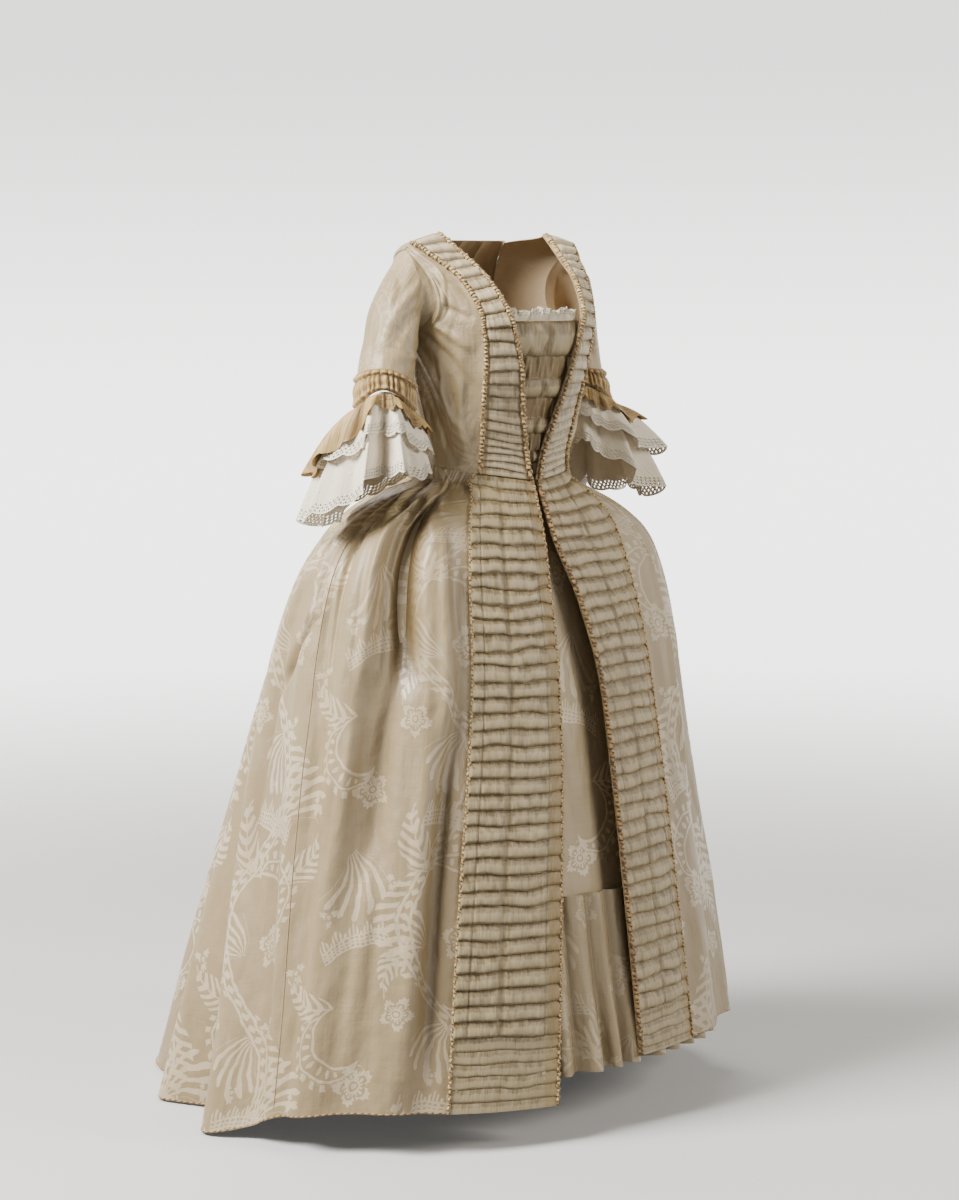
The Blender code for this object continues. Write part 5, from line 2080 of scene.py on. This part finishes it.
    def tier(self, u: Array, v: Array, tier: Tier) -> Array:
        """A tier's outer face.

        Args:
            u: Place once round from the inner seam.
            v: Place from the cuff to the hem.
            tier: The tier.

        Returns:
            The points.
        """
        turn = u * FULL_TURN
        cuff = self.rings[-1]
        middle = 0.5 * (cuff.inner + cuff.outer)
        radius = 0.5 * (cuff.outer - cuff.inner)
        top = 0.5 * (cuff.inner_height + cuff.outer_height)
        drop = self.tier_drop(u, v, tier)
        share = np.clip(drop / self.full_drop, 0.0, self.most) ** self.spring
        phase = turn * self.folds + self.drift * np.sin(turn * 2.0) + 1.1 * np.sin(turn * 3.0 + 0.5)
        phase = phase + 0.55 * np.sin(turn * 5.0) * np.maximum(v, 0.0)
        outer = 0.5 - 0.5 * np.cos(turn)
        wave = np.sin(phase) * (0.80 + 0.35 * np.sin(turn * 3.0 + tier.inset * 90.0)) * (0.60 + 0.70 * outer)
        turn = turn + 0.060 * np.cos(phase) * share
        small = np.sin(turn * 23.0 + 1.7 * np.sin(turn * 3.0) + tier.inset * 300.0)
        small = small * (2.8 if tier.name == "flounce" else 1.0 - 0.65 * np.clip(v, 0.0, 1.0))
        fine = np.sin(turn * 61.0 + 2.0 * np.sin(turn * 5.0))
        flare = self._around(tier.flare, turn)
        reach = radius - tier.inset + (
            flare + self.behind * outer + self.fold_depth * wave + self.crinkle * small) * share
        drop = drop - self.hem_sway * np.sin(phase + 0.6) * np.maximum(v, 0.0)
        reach = reach + self.crimp * fine * bump(drop - 0.008, 0.03)
        slope = (cuff.outer_height - cuff.inner_height) * 0.5 * -np.cos(turn)
        return np.stack((self.side.value * (middle - reach * np.cos(turn)), cuff.y - reach * np.sin(turn),
                         top + slope - self._arch(turn) - drop - HOLD_HEIGHT), axis=-1)

    def build(self, room: Workroom) -> None:
        """Make the sleeve, the cuff band, and the three tiers.

        Args:
            room: The workroom that makes the pieces.
        """
        word, sign = self.side.word, -float(self.side.value)
        shade = {"shade": lambda u, v: np.maximum(
            0.6 * bump(from_whole(u), 0.20) * (1.0 - step_up(v, 0.2, 0.9)), 0.55 * bump(v - 0.03, 0.035))}
        room.sheet(f"sleeve_{word}", lifted(self.sleeve, sign, self._sleeve_lift),
                   Cut(96, 76, closed=True, rise=-1.0, origin=(0.22, 0.30)), "damask_soft",
                   sign, SILK, "lining", shade)
        marks = {"full": self._cuff_full, "border": lambda u, v: 0.3 * (1.0 - step_up(v, 0.0, 0.10))}
        under = lambda u, v: self.sleeve(u, self.cuff_start + (1.0 - self.cuff_start) * v)
        room.sheet(f"cuff_band_{word}", lifted(under, sign, self._cuff_lift),
                   Cut(220, 34, closed=True, rise=-1.0), "tan_silk",
                   sign, thick=0.0, marks=marks)
        for tier in self.tiers:
            fall = lambda u, v, tier=tier: self.tier(u, v, tier)
            tan = tier.name == "flounce"
            drop = lambda u, v, tier=tier: self.tier_drop(u, v, tier)
            hem = {"hem": lambda u, v, drop=drop: drop(u, np.ones_like(v)) - drop(u, v),
                   # Painted light and shade on the tan flounce: its colour goes lighter and darker once round for
                   # each fold.
                   "full": lambda u, v: 0.62 + 0.38 * np.sin(u * FULL_TURN * self.folds),
                   "border": lambda u, v: 0.5 * step_up(v, 0.90, 0.99)}
            room.sheet(f"{tier.name}_{word}", fall, Cut(250, 26 if tan else 30, closed=True, rise=-1.0),
                       "tan_silk" if tan else "lawn",
                       sign, FINE, marks=hem)


RIGHT_SKIRT = RobeSkirt(
    Side.RIGHT,
    folds=table(Fold,
        (0.11, 0.15, 0.09, 0.014, 0.01, 0.004), (0.25, 0.26, 0.1, -0.012, -0.008, -0.004),
        (0.36, 0.38, 0.09, 0.013, 0.009, 0.005), (0.46, 0.47, 0.06, -0.014, -0.008, -0.004),
        (0.57, 0.56, 0.07, 0.01, 0.006, 0.0), (0.76, 0.66, 0.07, 0.01, 0.02, 0.044),
        (0.85, 0.76, 0.06, -0.016, -0.03, -0.046), (0.93, 0.86, 0.06, 0.006, 0.02, 0.04)),
    creases=table(Crease,
        (0.56, 0.04, 0.2, 0.125, 0.022, -0.017), (0.195, 0.075, 0.165, 0.33, 0.044, -0.034),
        (0.64, 0.045, 0.36, 0.125, 0.016, 0.012), (0.33, 0.08, 0.3, 0.33, 0.032, 0.02),
        (0.32, 0.06, 0.1, 0.15, 0.016, 0.01), (0.085, 0.14, 0.07, 0.43, 0.026, 0.012),
        (0.56, 0.07, 0.5, 0.165, 0.01, -0.008), (0.5, 0.15, 0.46, 0.42, 0.02, 0.007),
        (0.56, 0.13, 0.55, 0.27, 0.02, -0.014), (0.55, 0.25, 0.69, 0.34, 0.018, -0.013),
        (0.66, 0.11, 0.74, 0.3, 0.022, 0.01), (0.7, 0.3, 0.69, 0.62, 0.024, -0.01),
        (0.2, 0.3, 0.24, 0.62, 0.04, -0.01), (0.32, 0.33, 0.36, 0.7, 0.036, 0.008),
        (0.11, 0.4, 0.12, 0.99, 0.036, 0.01), (0.04, 0.38, 0.045, 0.99, 0.036, -0.016),
        (0.8, 0.05, 0.84, 0.28, 0.018, 0.009), (0.34, 0.02, 0.1, 0.12, 0.009, 0.006),
        (0.28, 0.02, 0.06, 0.09, 0.008, -0.004), (0.6, 0.5, 0.56, 0.98, 0.03, -0.007),
        (0.4, 0.56, 0.44, 0.98, 0.034, -0.006), (0.24, 0.62, 0.28, 0.98, 0.034, 0.006)),
    pinches=table(Pinch, (0.165, 0.012, 0.45), (0.575, 0.055, 0.5), (0.86, 0.014, 0.55)),
    selvedges=(0.16, 0.0), trim_end=0.885,
    pleat=table(Edge, (0.0, 0.9), (0.3, 0.8), (0.5, 0.77), (0.7, 0.73), (0.9, 0.7), (1.0, 0.69)),
    # Painted shade in the hollows.
    hollows=table(Crease,
        (0.58, 0.035, 0.2, 0.125, 0.013, -0.4), (0.195, 0.065, 0.165, 0.34, 0.05, -1.4),
        (0.08, 0.09, 0.05, 0.27, 0.03, -0.4), (0.5, 0.08, 0.45, 0.15, 0.009, -0.1),
        (0.55, 0.16, 0.56, 0.26, 0.016, -0.35), (0.56, 0.25, 0.7, 0.34, 0.015, -0.75),
        (0.7, 0.3, 0.69, 0.62, 0.02, -0.4), (0.2, 0.33, 0.24, 0.62, 0.034, -0.28),
        (0.02, 0.16, 0.02, 0.46, 0.018, -0.6), (0.035, 0.4, 0.04, 0.99, 0.05, -0.8),
        (0.6, 0.52, 0.56, 0.98, 0.026, -0.25)),
    seam=0.515)

LEFT_SKIRT = RobeSkirt(
    Side.LEFT,
    folds=table(Fold,
        (0.1, 0.1, 0.1, 0.012, 0.01, 0.008), (0.25, 0.25, 0.08, -0.018, -0.008, -0.006),
        (0.4, 0.4, 0.1, 0.02, 0.016, 0.016), (0.54, 0.52, 0.07, -0.02, -0.014, -0.008),
        (0.68, 0.65, 0.08, 0.014, 0.014, 0.016), (0.8, 0.77, 0.08, -0.012, -0.02, -0.03),
        (0.91, 0.9, 0.08, 0.012, 0.022, 0.03)),
    creases=table(Crease,
        (0.16, 0.02, 0.12, 0.58, 0.018, 0.008), (0.28, 0.03, 0.3, 0.5, 0.016, -0.009),
        (0.4, 0.02, 0.48, 0.62, 0.018, 0.01), (0.52, 0.03, 0.6, 0.52, 0.015, -0.009),
        (0.63, 0.02, 0.78, 0.6, 0.02, 0.009), (0.76, 0.02, 0.88, 0.48, 0.015, -0.008),
        (0.2, 0.45, 0.24, 0.97, 0.022, -0.005), (0.46, 0.5, 0.4, 0.99, 0.022, 0.005)),
    pinches=table(Pinch, (0.14, 0.014, 0.5), (0.46, 0.05, 0.5), (0.83, 0.016, 0.5)),
    selvedges=(0.0, 0.14), trim_end=0.93,
    pleat=table(Edge, (0.0, 0.92), (0.5, 0.8), (1.0, 0.72)),
    # Painted shade in the hollows.
    hollows=table(Crease,
        (0.28, 0.03, 0.3, 0.5, 0.02, -0.45), (0.52, 0.03, 0.6, 0.52, 0.018, -0.45),
        (0.76, 0.02, 0.88, 0.48, 0.018, -0.45), (0.04, 0.3, 0.04, 0.99, 0.03, -0.35)),
    seam=0.50, inner_gimp=replace(SKIRT_GIMP, radius=0.0034, cloth="knotted"))

RIGHT_ARM = Arm(
    Side.RIGHT,
    rings=table(ArmRing,
        (0.166, 1.23, 0.171, 1.35, -0.002, 0.048), (0.17, 1.211, 0.197, 1.32, -0.008, 0.051),
        (0.171, 1.197, 0.228, 1.275, -0.014, 0.05), (0.174, 1.184, 0.25, 1.222, -0.021, 0.048),
        (0.18, 1.168, 0.264, 1.182, -0.028, 0.046), (0.183, 1.156, 0.268, 1.164, -0.031, 0.045),
        (0.185, 1.144, 0.271, 1.148, -0.034, 0.045)),
    ruffles=table(TierSide,
        (0, 0.048, 0.044, 0.04, 0.07, 0.11), (37, 0.056, 0.05, 0.036, 0.068, 0.096),
        (90, 0.048, 0.044, 0.026, 0.062, 0.115), (127, 0.042, 0.038, 0.024, 0.064, 0.128),
        (165, 0.056, 0.048, 0.05, 0.078, 0.15), (217, 0.084, 0.07, 0.1, 0.09, 0.176),
        (270, 0.068, 0.062, 0.12, 0.11, 0.18), (320, 0.054, 0.05, 0.07, 0.09, 0.14)),
    arch_turn=37.0,
    creases=table(Crease,
        (0.3, 0.12, 0.42, 0.6, 0.012, 0.004), (0.2, 0.2, 0.34, 0.58, 0.01, -0.0036),
        (0.55, 0.2, 0.4, 0.44, 0.01, 0.0036), (0.12, 0.5, 0.34, 0.62, 0.009, 0.003),
        (0.7, 0.3, 0.58, 0.6, 0.012, -0.0036), (0.86, 0.24, 0.74, 0.56, 0.012, 0.0034),
        (0.98, 0.3, 0.86, 0.6, 0.01, -0.003), (0.02, 0.44, 0.16, 0.34, 0.009, 0.0028)))

LEFT_ARM = Arm(
    Side.LEFT,
    rings=table(ArmRing,
        (0.166, 1.23, 0.169, 1.348, 0.004, 0.046), (0.168, 1.211, 0.19, 1.316, 0.012, 0.046),
        (0.168, 1.197, 0.214, 1.272, 0.024, 0.044), (0.17, 1.184, 0.232, 1.222, 0.034, 0.043),
        (0.172, 1.168, 0.245, 1.182, 0.038, 0.043), (0.174, 1.156, 0.254, 1.164, 0.038, 0.044),
        (0.175, 1.144, 0.26, 1.148, 0.036, 0.045)),
    ruffles=table(TierSide,
        (0, 0.03, 0.026, 0.04, 0.07, 0.105), (53, 0.034, 0.03, 0.026, 0.055, 0.095),
        (100, 0.078, 0.056, 0.03, 0.066, 0.115), (143, 0.118, 0.078, 0.032, 0.08, 0.145),
        (180, 0.108, 0.08, 0.046, 0.096, 0.165), (230, 0.078, 0.066, 0.09, 0.112, 0.18),
        (280, 0.055, 0.05, 0.105, 0.115, 0.165), (323, 0.036, 0.032, 0.07, 0.09, 0.13)),
    arch_turn=143.0,
    creases=table(Crease,
        (0.2, 0.14, 0.3, 0.6, 0.012, 0.004), (0.32, 0.22, 0.44, 0.6, 0.01, -0.0036),
        (0.6, 0.2, 0.48, 0.46, 0.01, 0.0034), (0.1, 0.48, 0.26, 0.62, 0.009, -0.003),
        (0.74, 0.28, 0.62, 0.6, 0.012, 0.0036), (0.9, 0.24, 0.8, 0.56, 0.012, -0.0034)))


class Lamp(NamedTuple):
    """A soft square light that faces the gown: its place, width in metres, power in watts and colour."""

    name: str
    place: tuple[float, float, float]
    size: float
    power: float
    colour: Colour


@dataclass(frozen=True)
class Studio:
    """The camera, the lights, and the pale floor that curves up into a wall all round."""

    floor: float = -1.3852
    eye: tuple[float, float, float] = (-2.824, -3.720, -0.075)
    target: tuple[float, float, float] = (-0.02, 0.002, -0.577)
    lens: float = 88.6
    reach: float = 60.0
    lamps: tuple[Lamp, ...] = table(Lamp,
        ("key", (-3.6, 0.5, 2.6), 2.0, 780.0, (1.0, 0.97, 0.92)),
        ("side", (2.2, -3.3, 1.2), 1.6, 142.0, (1.0, 0.94, 0.84)),
        ("top", (0.7, 1.9, 3.2), 2.4, 95.0, (1.0, 0.98, 0.95)),
        ("front", (-2.6, -3.6, 0.2), 2.4, 12.0, (1.0, 0.93, 0.80)))
    lit: tuple[float, float, float] = (0.0, 0.0, -0.6)
    flat_radius: float = 6.4
    wall_height: float = 5.0
    turns: int = 10
    steps: int = 16
    curve: float = 1.6
    sky: Colour = (1.0, 0.92, 0.78)
    sky_strength: float = 0.070
    paper: Colour = (0.62, 0.62, 0.618)
    glow: float = 3.3
    glow_out: tuple[float, float] = (1.4, 6.2)
    glow_up: tuple[float, float] = (-0.8, 1.0)

    def _stand(self, name: str, data: Any, place: tuple[float, float, float],
               target: tuple[float, float, float]) -> bpy.types.Object:
        """Stand a camera or a light in the studio.

        Args:
            name: Its name.
            data: The camera or the light.
            place: Where it stands.
            target: The point that it faces.

        Returns:
            The object.
        """
        thing = bpy.data.objects.new(name, data)
        bpy.context.scene.collection.objects.link(thing)
        thing.location = place
        thing.rotation_euler = (Vector(target) - thing.location).to_track_quat("-Z", "Y").to_euler()
        return thing

    def camera(self) -> None:
        """Set up the camera."""
        data = bpy.data.cameras.new("camera")
        data.lens = self.lens
        data.clip_end = self.reach
        bpy.context.scene.camera = self._stand("camera", data, self.eye, self.target)

    def lights(self) -> None:
        """Light the gown softly from the upper left of the view, with a weaker fill."""
        for lamp in self.lamps:
            data = bpy.data.lights.new(lamp.name, "AREA")
            data.shape = "SQUARE"
            data.size = lamp.size
            data.energy = lamp.power
            data.color = lamp.colour
            self._stand(lamp.name, data, lamp.place, self.lit)
        world = bpy.data.worlds.new("studio")
        world.use_nodes = True
        sky = world.node_tree.nodes["Background"].inputs
        sky["Color"].default_value = (*self.sky, 1.0)
        sky["Strength"].default_value = self.sky_strength
        bpy.context.scene.world = world

    def floor_and_wall(self) -> None:
        """Make the paper that the gown stands on."""
        sweep = bmesh.new()
        bmesh.ops.create_circle(sweep, cap_ends=True, radius=self.flat_radius, segments=96)
        rim = [line for line in sweep.edges if line.is_boundary]
        for step in range(1, self.steps + 1):
            turn = min(step / self.turns, 1.0) * math.pi / 2.0
            more = bmesh.ops.extrude_edge_only(sweep, edges=rim)["geom"]
            straight_up = max(step - self.turns, 0) / (self.steps - self.turns)
            rise = self.curve * (1.0 - math.cos(turn)) + self.wall_height * straight_up
            radius = self.flat_radius + self.curve * math.sin(turn)
            for item in more:
                if isinstance(item, bmesh.types.BMVert):
                    size = math.hypot(item.co.x, item.co.y)
                    item.co = Vector((item.co.x / size * radius, item.co.y / size * radius, rise))
            rim = [item for item in more if isinstance(item, bmesh.types.BMEdge)]
        bmesh.ops.translate(sweep, verts=sweep.verts, vec=(0.0, 0.0, self.floor))
        bmesh.ops.recalc_face_normals(sweep, faces=sweep.faces)
        data = bpy.data.meshes.new("paper")
        sweep.to_mesh(data)
        sweep.free()
        data.shade_smooth()
        data.materials.append(self._paper_look())
        floor = bpy.data.objects.new("paper", data)
        bpy.context.scene.collection.objects.link(floor)
        floor.visible_diffuse = False

    def _paper_look(self) -> bpy.types.Material:
        """Pale paper that glows softly far from the gown, more on the floor than on the wall."""
        paper = Fabric("paper")
        place = paper.node("ShaderNodeTexCoord", {}, {}).outputs["Object"]
        grain = paper.noise(place, (3.0, 3.0), 3.0)
        x, y = paper.split(place)
        out = (x * x + y * y).math("SQRT").ramp(*self.glow_out)
        up = Field(paper, paper.node("ShaderNodeSeparateXYZ", {}, {0: place}).outputs[2]).ramp(*self.glow_up)
        glow = paper.mix(out * (1.0 - up * 0.52), (0.02, 0.02, 0.02), (1.0, 0.998, 0.992))
        dark = tuple(part * 0.965 for part in self.paper)
        return paper.finish(
            {"Specular IOR Level": 0.1, "Emission Strength": self.glow},
            {"Base Color": paper.mix(grain, self.paper, dark), "Roughness": 0.88 + grain * 0.06,
             "Emission Color": glow})

    def build(self) -> None:
        """Set up the whole studio."""
        self.camera()
        self.lights()
        self.floor_and_wall()


def finishes() -> dict[str, bpy.types.Material]:
    """Weave every cloth of the gown.

    Returns:
        The materials by name.
    """
    looks = (
        DamaskFinish(),
        # A brighter copy of the damask for the petticoat, which stands in shade between the skirts: painted light.
        DamaskFinish("damask_light", (0.74, 0.615, 0.43), (0.405, 0.315, 0.178), aged=0.0),
        # The damask with its figures at under half contrast, for the bodice, sleeves and stomacher, where the light
        # brings them out less: painted light.
        DamaskFinish("damask_soft", contrast=0.46, crumple=0.0070),
        GatheredFinish("trim_silk", (0.405, 0.328, 0.190), (0.100, 0.064, 0.020), (0.31, 0.208, 0.072), sheen=0.06),
        GatheredFinish("robing_silk", (0.50, 0.415, 0.265), (0.105, 0.068, 0.025), (0.44, 0.30, 0.14)),
        GatheredFinish("tan_silk", (0.47, 0.315, 0.115), (0.16, 0.092, 0.024), (0.41, 0.26, 0.085), rowed=False,
                       sheen=0.06),
        GimpFinish("ruched", (0.50, 0.36, 0.17), (0.15, 0.085, 0.025), 0.0075),
        LawnFinish("lawn", (0.91, 0.825, 0.675), (0.96, 0.885, 0.755)),
        LawnFinish("lace", (0.70, 0.63, 0.48), (0.80, 0.74, 0.60), 0.012),
        GimpFinish(),
        GimpFinish("knotted", (0.34, 0.20, 0.07), (0.055, 0.028, 0.010), 0.0085),
        LiningFinish(),
    )
    return {look.name: look.weave() for look in looks}


def main() -> None:
    """Build the gown piece by piece and set up the studio round it."""
    logging.basicConfig(level=logging.INFO, format="%(name)s: %(message)s")
    room = Workroom(finishes())
    Stomacher().build(room)
    for side in Side:
        Bodice(side).build(room)
    for panel in (RIGHT_SKIRT, LEFT_SKIRT):
        panel.build(room)
    SackBack().build(room)
    Underskirt().build(room)
    for arm in (RIGHT_ARM, LEFT_ARM):
        arm.build(room)
    Studio().build()
    LOG.info("%d pieces", len(room.made))


if __name__ == "__main__":
    main()
